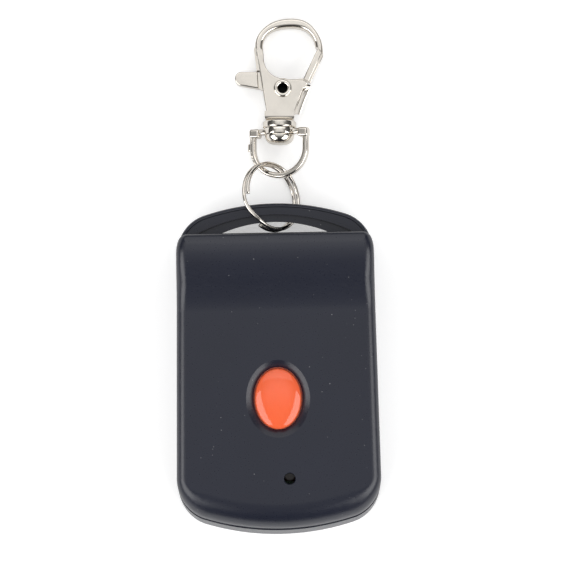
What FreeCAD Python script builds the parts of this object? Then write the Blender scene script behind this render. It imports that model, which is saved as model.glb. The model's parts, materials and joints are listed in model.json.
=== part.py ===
import FreeCAD
import Part
import Sketcher
import math
import os

from FreeCAD import Placement
from FreeCAD import Rotation
from FreeCAD import Vector

# Garage door remote: a hand-sized key-ring transmitter with one button, a raised end over its
# battery, and a split ring with a swivel clasp on its key loop. Millimetres and degrees.
# +X is right, +Y points to the key loop, +Z comes out of the button face.
# The origin is on the flat back, under the middle of the case.

# Every size that can be set by itself: its name, its value and what it measures.
SIZES = [
    ("foot_width", 42.2, "case width across the foot end"),
    ("head_width", 39.8, "case width across the key-loop end"),
    ("foot_reach", 30.12, "origin to the foot end at the seam"),
    ("foot_slope", 0.24, "how far the foot wall leans out for each length down"),
    ("head_reach", 36.9, "origin to the outside of the key loop"),
    ("end_reach", 30.9, "origin to the end wall behind the key loop"),
    ("foot_arc", 52.4, "radius of the foot end in plan"),
    ("head_arc", 47.4, "radius of the key loop's outside in plan"),
    ("corner_round", 8.0, "radius of the four plan corners"),
    ("end_corner_round", 2.0, "radius of the corners beside the end wall"),
    ("seam_height", 7.6, "back to the seam between the shells"),
    ("face_height", 12.4, "back to the flat button face"),
    ("crest_rise", 2.8, "button face to the crest over the battery"),
    ("ramp_back", 15.9, "end wall back to the start of the ramp"),
    ("ramp_run", 12.5, "length of the ramp up to the crest"),
    ("crest_roll", 7.0, "radius of the crest beyond its top"),
    ("side_round", 2.2, "radius of the face's long edges"),
    ("foot_round", 5.7, "radius of the face's foot edge"),
    ("end_round", 1.0, "radius of the face's edge at the end wall"),
    ("back_round", 1.2, "radius of the back's edge"),
    ("wall", 1.6, "thickness of the shells"),
    ("seam_bevel", 0.25, "bevel on each shell at the seam"),
    ("lip_thick", 0.7, "thickness of the rear shell's locating lip"),
    ("lip_rise", 1.0, "height of the locating lip over the seam"),
    ("lip_gap", 0.1, "clearance between lip and front shell"),
    ("loop_depth", 2.6, "thickness of the key loop, down from the seam"),
    ("loop_round", 0.9, "radius of the key loop's outer edges"),
    ("window_half", 11.0, "half width of the key window"),
    ("window_reach", 2.2, "end wall to the far side of the key window"),
    ("recess_half", 15.9, "half width of the step round the key window"),
    ("recess_reach", 3.7, "end wall to the far side of the step"),
    ("recess_depth", 1.1, "depth of the step round the key window"),
    ("label_width", 26.0, "width of the bare label recess on the back"),
    ("label_length", 17.0, "length of the label recess"),
    ("label_start", 4.0, "origin to the label recess"),
    ("label_depth", 0.25, "depth of the label recess"),
    ("screw_across", 30.6, "distance between the two case screws"),
    ("screw_back", 21.7, "origin back to the case screws"),
    ("screw_radius", 1.0, "radius of a case screw's shank"),
    ("screw_length", 7.6, "length of a case screw's shank"),
    ("screw_head_radius", 1.85, "radius of a case screw's head"),
    ("screw_head_high", 1.3, "height of a case screw's head"),
    ("screw_sink", 0.25, "back face down to the screw head"),
    ("screw_slot", 0.5, "width of the cross recess in a screw head"),
    ("screw_clear", 0.15, "clearance round a screw's shank in the rear shell"),
    ("post_wall", 1.35, "wall of the screw posts round their bore"),
    ("post_join", 4.0, "back to where the screw posts meet"),
    ("post_gap", 0.05, "gap between the screw posts"),
    ("thread_clear", 0.02, "clearance of a screw in its pilot bore"),
    ("button_x", 0.1, "button centre to the middle plane"),
    ("button_back", 3.0, "origin back to the button centre"),
    ("button_wide", 9.4, "button width"),
    ("button_long", 12.3, "button length"),
    ("button_gap", 0.3, "gap round the button"),
    ("button_proud", 1.0, "button face to the top of the button"),
    ("button_crown", 1.2, "fall of the button's top from middle to rim"),
    ("button_crown_radius", 4.0, "half height of the crown's ellipsoid"),
    ("button_rim", 0.5, "radius of the button's rim"),
    ("button_flange", 0.9, "how far the button's hidden flange stands out"),
    ("button_flange_high", 0.65, "thickness of the flange"),
    ("button_travel", 0.4, "how far the button goes in"),
    ("rest_gap", 0.1, "clearance over and under the flange at rest"),
    ("bezel_wide", 1.5, "width of the sloping bezel round the button"),
    ("bezel_deep", 0.95, "depth of the bezel"),
    ("lamp_x", 2.2, "lamp hole to the middle plane"),
    ("lamp_back", 19.4, "origin back to the lamp hole"),
    ("lamp_radius", 1.15, "radius of the lamp hole"),
    ("lamp_bevel", 0.15, "bevel at the mouth of the lamp hole"),
    ("board_under", 4.6, "back to the underside of the circuit board"),
    ("board_thick", 1.0, "thickness of the circuit board"),
    ("board_gap", 0.5, "gap between the board and the side walls"),
    ("board_foot", 26.0, "origin back to the board's foot edge"),
    ("board_notch_x", 12.6, "middle plane to the board's corner notches"),
    ("board_notch_y", 18.6, "origin back to the board's corner notches"),
    ("rest_post_radius", 1.2, "radius of the posts under the board"),
    ("battery_back", 6.9, "end wall back to the battery's axis"),
    ("battery_z", 7.3, "back to the battery's axis"),
    ("battery_radius", 5.15, "radius of the battery over its sleeve"),
    ("battery_length", 27.5, "length of the battery without its nub"),
    ("nub_radius", 1.9, "radius of the battery's positive nub"),
    ("nub_length", 1.0, "length of the positive nub"),
    ("sleeve_thick", 0.12, "thickness of the battery's sleeve"),
    ("sleeve_inset", 0.5, "bare can at each end of the sleeve"),
    ("battery_gap", 0.3, "clearance round the battery in its cradle"),
    ("cradle_x", 7.5, "middle plane to the cradle ribs"),
    ("rib_thick", 1.0, "thickness of the ribs"),
    ("contact_thick", 0.35, "thickness of the contact plates"),
    ("contact_half", 15.2, "middle plane to the inside of a contact plate"),
    ("contact_wide", 8.0, "width of the contact plates"),
    ("contact_rise", 3.4, "battery's axis up to the top of a contact plate"),
    ("contact_tab", 1.6, "length of a contact's soldered tab"),
    ("contact_press", 0.05, "clearance between the nub and its contact"),
    ("coil_wire", 0.4, "wire of the battery spring"),
    ("coil_large", 3.3, "radius of the spring's first turn"),
    ("coil_small", 1.3, "radius of the spring's last turn"),
    ("switch_side", 6.0, "side of the push switch"),
    ("switch_high", 3.3, "height of the push switch's base"),
    ("switch_cover", 0.25, "thickness of the push switch's cover"),
    ("plunger_radius", 1.7, "radius of the switch plunger"),
    ("plunger_foot", 2.2, "radius of the plunger's foot"),
    ("plunger_gap", 0.1, "clearance round the plunger"),
    ("plunger_rise", 0.75, "plunger's top over the switch cover"),
    ("plunger_touch", 0.05, "gap between plunger and button at rest"),
    ("well_depth", 1.5, "depth of the well in the switch base"),
    ("dome_thick", 0.1, "thickness of the snap dome"),
    ("leg_thick", 0.2, "thickness of the solder legs"),
    ("leg_wide", 0.7, "width of the push switch's legs"),
    ("leg_foot", 1.1, "reach of the push switch's legs"),
    ("solder_gap", 0.02, "solder film under a leg or a chip"),
    ("coder_y", 9.6, "origin to the code switch's middle"),
    ("coder_wide", 9.9, "width of the code switch"),
    ("coder_margin", 1.95, "code switch's end to its first slider"),
    ("coder_high", 3.9, "height of the code switch"),
    ("slider_pitch", 2.54, "spacing of the code sliders"),
    ("slider_wide", 1.2, "width of a code slider"),
    ("slider_long", 1.6, "length of a code slider"),
    ("slider_proud", 0.5, "slider's top over the code switch"),
    ("slider_travel", 2.0, "travel of a code slider"),
    ("slider_gap", 0.06, "clearance round a code slider"),
    ("slot_depth", 1.4, "depth of a slider's slot"),
    ("coder_leg", 0.6, "width of a code switch leg"),
    ("coder_leg_reach", 1.2, "reach of a code switch leg"),
    ("chip_x", 10.6, "middle plane to the encoder chip"),
    ("chip_back", 5.6, "origin back to the encoder chip"),
    ("chip_wide", 5.6, "width of the encoder chip's body"),
    ("chip_high", 2.1, "height of the encoder chip's body"),
    ("chip_lift", 0.15, "board to the encoder chip's body"),
    ("chip_pitch", 1.27, "spacing of the encoder chip's legs"),
    ("chip_leg", 0.42, "width of an encoder chip's leg"),
    ("chip_leg_reach", 1.3, "reach of an encoder chip's leg"),
    ("can_x", 11.2, "middle plane to the resonator can"),
    ("can_back", 4.4, "origin back to the resonator can"),
    ("can_radius", 4.0, "radius of the resonator can"),
    ("can_high", 3.0, "height of the resonator can"),
    ("can_rim", 0.6, "width of the resonator can's rim"),
    ("can_rim_high", 0.5, "thickness of the resonator can's rim"),
    ("trace_wide", 1.5, "width of the printed loop antenna"),
    ("trace_thick", 0.07, "thickness of the printed loop antenna"),
    ("trace_edge", 0.7, "board's edge to the antenna"),
    ("trace_top", 12.6, "origin back to the antenna's open ends"),
    ("ring_radius", 6.95, "mean radius of the split ring"),
    ("ring_wire", 0.8, "wire of the split ring"),
    ("ring_gap", 0.45, "gap between the ring's two turns"),
    ("ring_tilt", 44.5, "slope of the ring's plane"),
    ("ring_heading", 16.0, "plan direction in which the ring slopes down, from +X"),
    ("ring_shift", -0.6, "ring centre to the middle plane"),
    ("ring_clear", 0.04, "ring to the end wall"),
    ("ring_lift", 0.04, "ring to the table"),
    ("ring_joint", 285.0, "place round the ring where its turns change over"),
    ("ring_overlap", 30.0, "half angle of the single turn at the change-over"),
    ("clasp_x", 1.32, "middle plane to the swivel"),
    ("clasp_over", 13.4, "ring centre to the swivel"),
    ("clasp_z", 3.75, "table to the swivel"),
    ("clasp_pitch", 5.0, "how far the clasp's far end dips"),
    ("clasp_lean", 1.0, "how far the clasp leans to the right"),
    ("bail_roll", 17.0, "how far the bail's left side dips"),
    ("bail_radius", 5.7, "mean radius of the bail's bend"),
    ("bail_leg", 3.3, "swivel to the centre of the bail's bend"),
    ("bail_wide", 1.16, "thickness of the bail in its own plane"),
    ("bail_deep", 1.8, "thickness of the bail across its plane"),
    ("bail_round", 0.45, "radius of the bail's edges"),
    ("shoulder_wide", 2.2, "width of the bail's shoulders"),
    ("shoulder_long", 1.85, "length of the bail's shoulders"),
    ("shoulder_deep", 2.5, "depth of the bail's shoulders"),
    ("boss_radius", 3.2, "radius of the bail's swivel boss"),
    ("boss_under", 0.5, "swivel centre to the underside of the boss"),
    ("boss_over", 0.7, "swivel centre to the top of the boss"),
    ("swivel_radius", 1.1, "radius of the swivel's shank"),
    ("swivel_clear", 0.07, "clearance of the swivel in the boss"),
    ("swivel_play", 0.06, "end play of the swivel"),
    ("swivel_head", 3.0, "radius of the swivel's domed head"),
    ("swivel_dome", 2.0, "height of the swivel's domed head"),
    ("collar_radius", 3.5, "radius of the hook's collar"),
    ("collar_long", 1.45, "length of the hook's collar"),
    ("neck_half", 3.1, "half width of the hook's neck"),
    ("neck_round", 1.15, "radius of the neck's end at the collar"),
    ("plate_start", 3.95, "swivel to the start of the hook's plate"),
    ("plate_half", 1.65, "half thickness of the hook's plate"),
    ("slot_half", 0.75, "half width of the trigger's slot"),
    ("slot_start", 5.6, "swivel to the start of the trigger's slot"),
    ("slot_end", 13.4, "swivel to the end of the trigger's slot"),
    ("hook_x", 2.0, "swivel axis to the centre of the hook's bend"),
    ("hook_y", 16.6, "swivel to the centre of the hook's bend"),
    ("hook_radius", 6.08, "mean radius of the hook's bend"),
    ("hook_half", 1.55, "half thickness of the hook across its plane"),
    ("hook_round", 0.5, "radius of the hook's outer edges"),
    ("hook_soft", 0.8, "radius of the hook's inner edges"),
    ("nose_gap", 0.15, "gap between the hook's nose and the gate"),
    ("pivot_x", 0.66, "swivel axis to the trigger's pivot"),
    ("pivot_y", 8.94, "swivel to the trigger's pivot"),
    ("pivot_radius", 1.35, "radius of the pivot rivet's shank"),
    ("pivot_head", 1.85, "radius of the pivot rivet's heads"),
    ("pivot_head_high", 0.5, "height of the pivot rivet's heads"),
    ("pivot_bore", 0.95, "radius of the pivot rivet's bore"),
    ("pivot_clear", 0.04, "clearance of the trigger on its rivet"),
    ("lever_half", 0.65, "half thickness of the trigger"),
    ("lever_disc", 2.3, "radius of the trigger round its pivot"),
    ("gate_half", 1.3, "half thickness of the trigger's gate"),
    ("gate_wide", 1.25, "width of the trigger's gate"),
    ("gate_flank", 0.45, "how far the gate's lower half stands out"),
    ("gate_reach", 10.95, "pivot to the gate's tip"),
    ("gate_lean", 65.0, "lean of the gate from the swivel's square"),
    ("tab_half", 1.15, "half thickness of the trigger's thumb tab"),
    ("spring_wire", 0.4, "wire of the trigger's spring"),
]

document = FreeCAD.newDocument("GarageRemote")
sheet = document.addObject("Spreadsheet::Sheet", "Sizes")
NODES = []


class Size:
    """A length or angle that knows its number and the rule that it follows."""

    def __init__(self, number, rule):
        self.number = float(number)
        self.rule = rule

    def __float__(self):
        return self.number

    def __add__(self, other):
        return Size(self.number + float(other), f"({self.rule} + {rule_of(other)})")

    def __radd__(self, other):
        return Size(float(other) + self.number, f"({rule_of(other)} + {self.rule})")

    def __sub__(self, other):
        return Size(self.number - float(other), f"({self.rule} - {rule_of(other)})")

    def __rsub__(self, other):
        return Size(float(other) - self.number, f"({rule_of(other)} - {self.rule})")

    def __mul__(self, other):
        return Size(self.number * float(other), f"({self.rule} * {rule_of(other)})")

    def __rmul__(self, other):
        return Size(float(other) * self.number, f"({rule_of(other)} * {self.rule})")

    def __truediv__(self, other):
        return Size(self.number / float(other), f"({self.rule} / {rule_of(other)})")

    def __neg__(self):
        return Size(-self.number, f"(-1 * {self.rule})")


class Sizes:
    """The sheet's sizes, one attribute each."""


def rule_of(value):
    """The rule of a size, or a plain number as text."""
    if isinstance(value, Size):
        return value.rule
    return repr(float(value))


def fill_sheet():
    """Write the sizes into the sheet and give each its alias."""
    held = Sizes()
    for row, (alias, value, meaning) in enumerate(SIZES, start=1):
        sheet.set(f"A{row}", meaning)
        sheet.set(f"B{row}", str(value))
        sheet.setAlias(f"B{row}", alias)
    document.recompute()
    for alias, _, _ in SIZES:
        setattr(held, alias, Size(sheet.get(alias), f"Sizes.{alias}"))
    return held


S = fill_sheet()


def bind(item, **values):
    """Tie an object's properties to sizes."""
    for name, value in values.items():
        if isinstance(value, Size):
            item.setExpression(name, value.rule)
        else:
            setattr(item, name, value)
    return item


def place(item, x=0, y=0, z=0):
    """Tie an object's position to sizes."""
    for axis, value in (("x", x), ("y", y), ("z", z)):
        if isinstance(value, Size):
            item.setExpression(f"Placement.Base.{axis}", value.rule)
        else:
            setattr(item.Placement.Base, axis, float(value))
    return item


TURN_Y = Rotation(Vector(0, 1, 0), 90)


def block(name, low, high):
    """A box between two corners."""
    item = document.addObject("Part::Box", name)
    bind(item, Length=high[0] - low[0], Width=high[1] - low[1], Height=high[2] - low[2])
    return place(item, *low)


def rod(name, radius, length, foot, along="z"):
    """A cylinder from its foot along +Z, +X or +Y."""
    item = document.addObject("Part::Cylinder", name)
    bind(item, Radius=radius, Height=length)
    if along == "x":
        item.Placement = Placement(Vector(), TURN_Y)
    if along == "y":
        item.Placement = Placement(Vector(), Rotation(Vector(1, 0, 0), -90))
    return place(item, *foot)


def cone(name, radius_foot, radius_top, length, foot, along="z"):
    """A cone from its foot along +Z or +Y."""
    item = document.addObject("Part::Cone", name)
    bind(item, Radius1=radius_foot, Radius2=radius_top, Height=length)
    if along == "y":
        item.Placement = Placement(Vector(), Rotation(Vector(1, 0, 0), -90))
    return place(item, *foot)


def oval(name, half_wide, half_long, x, y, z):
    """An ellipse lying flat, long in Y."""
    item = document.addObject("Part::Ellipse", name)
    bind(item, MajorRadius=half_long, MinorRadius=half_wide)
    item.Placement = Placement(Vector(), Rotation(Vector(0, 0, 1), 90))
    return place(item, x, y, z)


def oval_block(name, half_wide, half_long, x, y, low, high):
    """An upright block with an oval plan."""
    item = document.addObject("Part::Extrusion", name)
    item.Base = oval(name + "Plan", half_wide, half_long, x, y, low)
    item.Dir = Vector(0, 0, 1)
    item.DirMode = "Custom"
    item.Solid = True
    return bind(item, LengthFwd=high - low)


def fused(name, *items):
    """Several solids joined to one."""
    item = document.addObject("Part::MultiFuse", name)
    item.Shapes = list(items)
    item.Refine = True
    return item


def shared(name, *items):
    """What several solids have in common."""
    item = document.addObject("Part::MultiCommon", name)
    item.Shapes = list(items)
    return item


def less(name, base, *tools):
    """A solid with others cut away."""
    item = document.addObject("Part::Cut", name)
    item.Base = base
    item.Tool = tools[0] if len(tools) == 1 else fused(name + "Tools", *tools)
    item.Refine = True
    return item


def middle_of(edge):
    """The point half way along an edge, and the direction there."""
    half = (edge.FirstParameter + edge.LastParameter) / 2
    return edge.valueAt(half), edge.tangentAt(half)


def rounded(name, base, chosen, form="Part::Fillet"):
    """A solid with some edges rounded: chosen gives an edge's two radii, or nothing."""
    document.recompute()
    item = document.addObject(form, name)
    item.Base = base
    edges = []
    for number, edge in enumerate(base.Shape.Edges, start=1):
        radii = chosen(edge)
        if radii:
            edges.append((number, float(radii[0]), float(radii[1])))
    item.Edges = edges
    return item


def even(radius, test):
    """The same radius on each edge that passes a test."""
    def chosen(edge):
        return (radius, radius) if test(edge) else None
    return chosen


def group(name, *items):
    """Several separate solids in one node."""
    item = document.addObject("Part::Compound", name)
    item.Links = list(items)
    return item


def shaped(name, shape):
    """A solid that is made from its sizes directly."""
    item = document.addObject("Part::Feature", name)
    item.Shape = shape
    return item


def node(name, item):
    """Name an object as one piece of the remote."""
    item.Label = name
    NODES.append((name, item))
    return item


def new_body(name):
    """An empty body for sketched features."""
    return document.addObject("PartDesign::Body", name)


def sketch_on(body, name, role, offset=None):
    """A sketch on one of the body's own planes, at an offset from it."""
    sketch = body.newObject("Sketcher::SketchObject", name)
    plane = next(item for item in body.Origin.OriginFeatures if item.Role == role)
    sketch.AttachmentSupport = (plane, [""])
    sketch.MapMode = "FlatFace"
    if offset is not None:
        sketch.setExpression("AttachmentOffset.Base.z", rule_of(offset))
    return sketch


def pin(sketch, part, point, place_at):
    """Fix one point of a sketch by its distances from the sketch's origin."""
    for kind, value in (("DistanceX", place_at[0]), ("DistanceY", place_at[1])):
        number = sketch.addConstraint(Sketcher.Constraint(kind, -1, 1, part, point, float(value)))
        name = f"{kind[-1]}{number}"
        sketch.renameConstraint(number, name)
        if isinstance(value, Size):
            sketch.setExpression(f"Constraints.{name}", value.rule)


def outline(sketch, corners):
    """A closed outline of straight lines, each corner fixed in place."""
    flat = [Vector(float(x), float(y), 0) for x, y in corners]
    first = sketch.GeometryCount
    count = len(corners)
    for index in range(count):
        sketch.addGeometry(Part.LineSegment(flat[index], flat[(index + 1) % count]))
    for index in range(count):
        following = first + (index + 1) % count
        sketch.addConstraint(Sketcher.Constraint("Coincident", first + index, 2, following, 1))
    for index in range(count):
        pin(sketch, first + index, 1, corners[index])


def rectangle(sketch, low, high):
    """A rectangle between two corners."""
    outline(sketch, [low, (high[0], low[1]), high, (low[0], high[1])])


def round_hole(sketch, centre, radius):
    """A circle in a sketch."""
    at = Vector(float(centre[0]), float(centre[1]), 0)
    number = sketch.addGeometry(Part.Circle(at, Vector(0, 0, 1), float(radius)))
    pin(sketch, number, 3, centre)
    held = sketch.addConstraint(Sketcher.Constraint("Radius", number, float(radius)))
    sketch.renameConstraint(held, f"Radius{held}")
    if isinstance(radius, Size):
        sketch.setExpression(f"Constraints.Radius{held}", radius.rule)


def pad(body, name, sketch, length):
    """Extrude a sketch upwards."""
    feature = body.newObject("PartDesign::Pad", name)
    feature.Profile = sketch
    return bind(feature, Length=length)


def pocket(body, name, sketch, depth):
    """Cut a sketch downwards from its plane."""
    feature = body.newObject("PartDesign::Pocket", name)
    feature.Profile = sketch
    return bind(feature, Length=depth)


def row_of(body, name, feature, sketch, spacing, count):
    """Repeat a feature along the sketch's horizontal axis."""
    pattern = body.newObject("PartDesign::LinearPattern", name)
    pattern.Originals = [feature]
    pattern.Direction = (sketch, ["H_Axis"])
    bind(pattern, Length=spacing * (count - 1))
    pattern.Occurrences = count
    body.Tip = pattern
    return pattern


# Heights that several pieces share

BOARD_TOP = S.board_under + S.board_thick
FACE_UNDER = S.face_height - S.wall
DOME_RISE = S.button_travel + S.dome_thick
FLANGE_TOP = FACE_UNDER - S.rest_gap
FLANGE_FOOT = FLANGE_TOP - S.button_flange_high
PLUNGER_TOP = BOARD_TOP + S.solder_gap + S.switch_high + S.switch_cover + S.plunger_rise
BUTTON_Y = -S.button_back
END_INSIDE = S.end_reach - S.wall
BATTERY_Y = S.end_reach - S.battery_back
FOOT_FLARE = S.seam_height * S.foot_slope
# A level cut through the leaning cylinder of the foot wall is longer than the cylinder is wide.
FOOT_STRETCH = Size(math.sqrt(1 + float(S.foot_slope) ** 2), f"sqrt(1 + {rule_of(S.foot_slope)}^2)")
CODES_ON = (1, 2, 4, 7, 8)
CODE_COUNT = 10
TALL = 30


def foot_wall(name, inset, low, high):
    """A leaning cylinder whose side is the foot wall: it leans out towards the back."""
    spare = S.foot_arc * S.foot_slope * 1.2
    start = low - spare
    radius = S.foot_arc - inset
    axis = radius * FOOT_STRETCH + inset - S.foot_reach
    item = rod(name, radius, (high - low + 2 * spare) * 1.05,
               (0, axis - (S.seam_height - start) * S.foot_slope, start))
    lean = math.degrees(math.atan(float(S.foot_slope)))
    item.Placement = Placement(item.Placement.Base, Rotation(Vector(1, 0, 0), -lean))
    return item


def case_block(name, inset, low, high):
    """The case's plan as an upright block, its walls moved inwards by an inset."""
    half_foot = S.foot_width / 2 - inset
    half_head = S.head_width / 2 - inset
    taper = document.addObject("Part::Wedge", name + "Taper")
    bind(taper, Xmin=-half_foot, Xmax=half_foot, X2min=-half_head, X2max=half_head,
         Ymin=-S.foot_reach - 2 * FOOT_FLARE, Ymax=S.head_reach, Zmin=low, Z2min=low,
         Zmax=high, Z2max=high)
    foot = foot_wall(name + "Foot", inset, low, high)
    head = rod(name + "Head", S.head_arc - inset, high - low,
               (0, S.head_reach - S.head_arc, low))
    plan = shared(name + "Plan", taper, foot, head)

    def at_corner(edge):
        point, way = middle_of(edge)
        return abs(way.z) > 0.9 and len(edge.Vertexes) == 2 and abs(point.x) > float(half_head) / 2

    return rounded(name, plan, even(S.corner_round - inset, at_corner))


def arc_point(centre, radius, angle):
    """A point of an arc in the YZ plane."""
    turned = math.radians(angle)
    return Vector(0, centre[0] + radius * math.cos(turned), centre[1] + radius * math.sin(turned))


def side_profile(name, inset, low, end):
    """The case's side profile as a block across it: flat face, ramp, crest and roll."""
    face = float(S.face_height - inset)
    rise = float(S.crest_rise)
    run = float(S.ramp_run)
    start = float(S.end_reach - S.ramp_back)
    slope = 2 * math.degrees(math.atan2(rise, run))
    bend = run / (2 * math.sin(math.radians(slope)))
    valley = (start, face + float(inset) + bend)
    hill = (start + run, face + float(inset) + rise - bend)
    roll = float(S.crest_roll)
    brow = (start + run, face + float(inset) + rise - roll)
    valley_radius = bend + float(inset)
    hill_radius = bend - float(inset)
    roll_radius = roll - float(inset)
    stop = math.degrees(math.acos((float(end) - brow[0]) / roll_radius))
    foot = -float(S.foot_reach) - 5
    points = [Vector(0, foot, float(low)), Vector(0, foot, face), Vector(0, start, face)]
    edges = [Part.LineSegment(points[0], points[1]), Part.LineSegment(points[1], points[2])]
    edges.append(Part.Arc(arc_point(valley, valley_radius, -90),
                          arc_point(valley, valley_radius, slope / 2 - 90),
                          arc_point(valley, valley_radius, slope - 90)))
    edges.append(Part.Arc(arc_point(hill, hill_radius, slope + 90),
                          arc_point(hill, hill_radius, slope / 2 + 90),
                          arc_point(hill, hill_radius, 90)))
    edges.append(Part.Arc(arc_point(brow, roll_radius, 90),
                          arc_point(brow, roll_radius, (90 + stop) / 2),
                          arc_point(brow, roll_radius, stop)))
    last = Vector(0, float(end), float(low))
    edges.append(Part.LineSegment(arc_point(brow, roll_radius, stop), last))
    edges.append(Part.LineSegment(last, points[0]))
    face_shape = Part.Face(Part.Wire([edge.toShape() for edge in edges]))
    across = float(S.foot_width)
    solid = face_shape.extrude(Vector(2 * across, 0, 0))
    solid.translate(Vector(-across, 0, 0))
    return shaped(name, solid)


def upright(edge):
    """Whether an edge stands upright."""
    return abs(middle_of(edge)[1].z) > 0.95


def upper_block(name, inset, low):
    """The outside of the front shell, or its hollow when inset by the wall."""
    end = S.end_reach - inset
    raw = shared(name + "Raw", case_block(name + "Block", inset, low, S.face_height + S.crest_rise * 2),
                 side_profile(name + "Side", inset, low, end))

    def end_corner(edge):
        return upright(edge) and abs(edge.CenterOfMass.y - float(end)) < 0.2

    corner = max(float(S.end_corner_round - inset), float(S.end_corner_round) / 2)
    turned = rounded(name + "Turned", raw, even(corner, end_corner))
    side = max(float(S.side_round - inset), 0.4)
    foot = max(float(S.foot_round - inset), 0.4)
    last = max(float(S.end_round - inset), 0.3)
    lean = float(S.face_height - S.seam_height) * float(S.foot_slope)
    foot_from = float(S.corner_round) * 0.8 - float(S.foot_reach) + lean

    def radius_at(point):
        if point.y < foot_from:
            return foot
        if point.y > float(end) - 0.4:
            return last
        return side

    def top_edge(edge):
        point, way = middle_of(edge)
        first = edge.valueAt(edge.FirstParameter)
        final = edge.valueAt(edge.LastParameter)
        across = abs(first.x + final.x) < 0.01 and -20 < point.y < float(end) - 0.4
        if point.z < float(low) + 0.5 or abs(way.z) > 0.95 or across:
            return None
        clockwise = sorted((first, final), key=lambda place: place.x if point.y > 0 else -place.x)
        return radius_at(clockwise[0]), radius_at(clockwise[1])

    return rounded(name, turned, top_edge)


def screw_post(name, x, radius, low, high):
    """A round post for a case screw."""
    return rod(name, radius, high - low, (x, -S.screw_back, low))


def screw_places():
    """The two case screws' places across the case."""
    return (("Left", -S.screw_across / 2), ("Right", S.screw_across / 2))


def front_shell():
    """The front half of the case: face, battery hump, button opening and lamp hole."""
    raw = upper_block("FrontOutside", 0 * S.wall, S.seam_height)
    groove_top = S.seam_height + S.seam_bevel
    ring = block("SeamGrooveOut", (-S.foot_width, -S.foot_width, S.seam_height - 1),
                 (S.foot_width, S.foot_width, groove_top))
    kept = case_block("SeamGrooveIn", S.seam_bevel, S.wall, S.face_height)
    outside = less("FrontBevelled", raw, less("SeamGroove", ring, kept))
    hollow = upper_block("FrontHollow", S.wall, S.seam_height - 1)
    shell = less("FrontSkin", outside, hollow)
    limit = upper_block("FrontLimit", S.wall / 2, S.post_join)
    post_radius = S.screw_radius + S.post_wall
    adds = []
    for side, x in screw_places():
        post = screw_post("Front" + side + "PostLong", x, post_radius,
                          S.post_join + S.post_gap, S.face_height)
        adds.append(shared("Front" + side + "Post", post, limit))
    hold = S.battery_radius + S.battery_gap
    for side, x in (("Left", -S.cradle_x), ("Right", S.cradle_x)):
        rib = block("Front" + side + "Rib",
                    (x - S.rib_thick / 2, BATTERY_Y - hold,
                     S.seam_height + S.lip_rise + S.lip_gap),
                    (x + S.rib_thick / 2, END_INSIDE + S.wall / 2, S.face_height + TALL))
        kept = shared("Front" + side + "RibKept", rib, limit)
        adds.append(less("Front" + side + "RibCut", kept,
                         rod("Front" + side + "RibBore", hold, 4 * S.rib_thick,
                             (x - 2 * S.rib_thick, BATTERY_Y, S.battery_z), "x")))
    whole = fused("FrontWhole", shell, *adds)
    tools = []
    for side, x in screw_places():
        tools.append(screw_post("Front" + side + "Pilot", x, S.screw_radius + S.thread_clear,
                                S.post_join - 1, head_seat() + S.screw_length + S.rest_gap))
    gap_wide = S.button_wide / 2 + S.button_gap
    gap_long = S.button_long / 2 + S.button_gap
    tools.append(oval_block("ButtonOpening", gap_wide, gap_long, S.button_x, BUTTON_Y,
                            S.seam_height, S.face_height + 2))
    bezel = document.addObject("Part::Loft", "Bezel")
    slope = S.bezel_wide / S.bezel_deep
    top_wide = gap_wide + S.bezel_wide + slope
    top_long = gap_long + S.bezel_wide + slope
    bezel.Sections = [
        oval("BezelFoot", gap_wide, gap_long, S.button_x, BUTTON_Y, S.face_height - S.bezel_deep),
        oval("BezelTop", top_wide, top_long, S.button_x, BUTTON_Y, S.face_height + 1),
    ]
    bezel.Solid = True
    bezel.Ruled = True
    tools.append(bezel)
    tools.append(rod("LampBore", S.lamp_radius, S.wall * 3,
                     (S.lamp_x, -S.lamp_back, S.face_height - 2 * S.wall)))
    tools.append(cone("LampBevel", S.lamp_radius, S.lamp_radius + 2 * S.lamp_bevel,
                      2 * S.lamp_bevel,
                      (S.lamp_x, -S.lamp_back, S.face_height - S.lamp_bevel)))
    node("front_shell", less("FrontShell", whole, *tools))


def head_seat():
    """The height of a case screw head's seat over the back face."""
    return S.screw_sink + S.screw_head_high


def segment_radius(half, reach):
    """The radius of an arc from its half chord and its rise."""
    return (half * half + reach * reach) / (reach * 2)


def lip_wall(name, inset, low, high):
    """A wall along the sides and the foot, from an inset to the inside of the locating lip."""
    inside = S.wall + S.lip_gap + S.lip_thick
    stop = BATTERY_Y - S.battery_radius - S.battery_gap - S.lip_gap
    outer = case_block(name + "Out", inset, S.wall, S.face_height)
    hollow = case_block(name + "In", inside, S.wall, S.face_height)
    kept = block(name + "Limit", (-S.foot_width, -S.foot_width, low), (S.foot_width, stop, high))
    return shared(name, less(name + "Wall", outer, hollow), kept)


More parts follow.
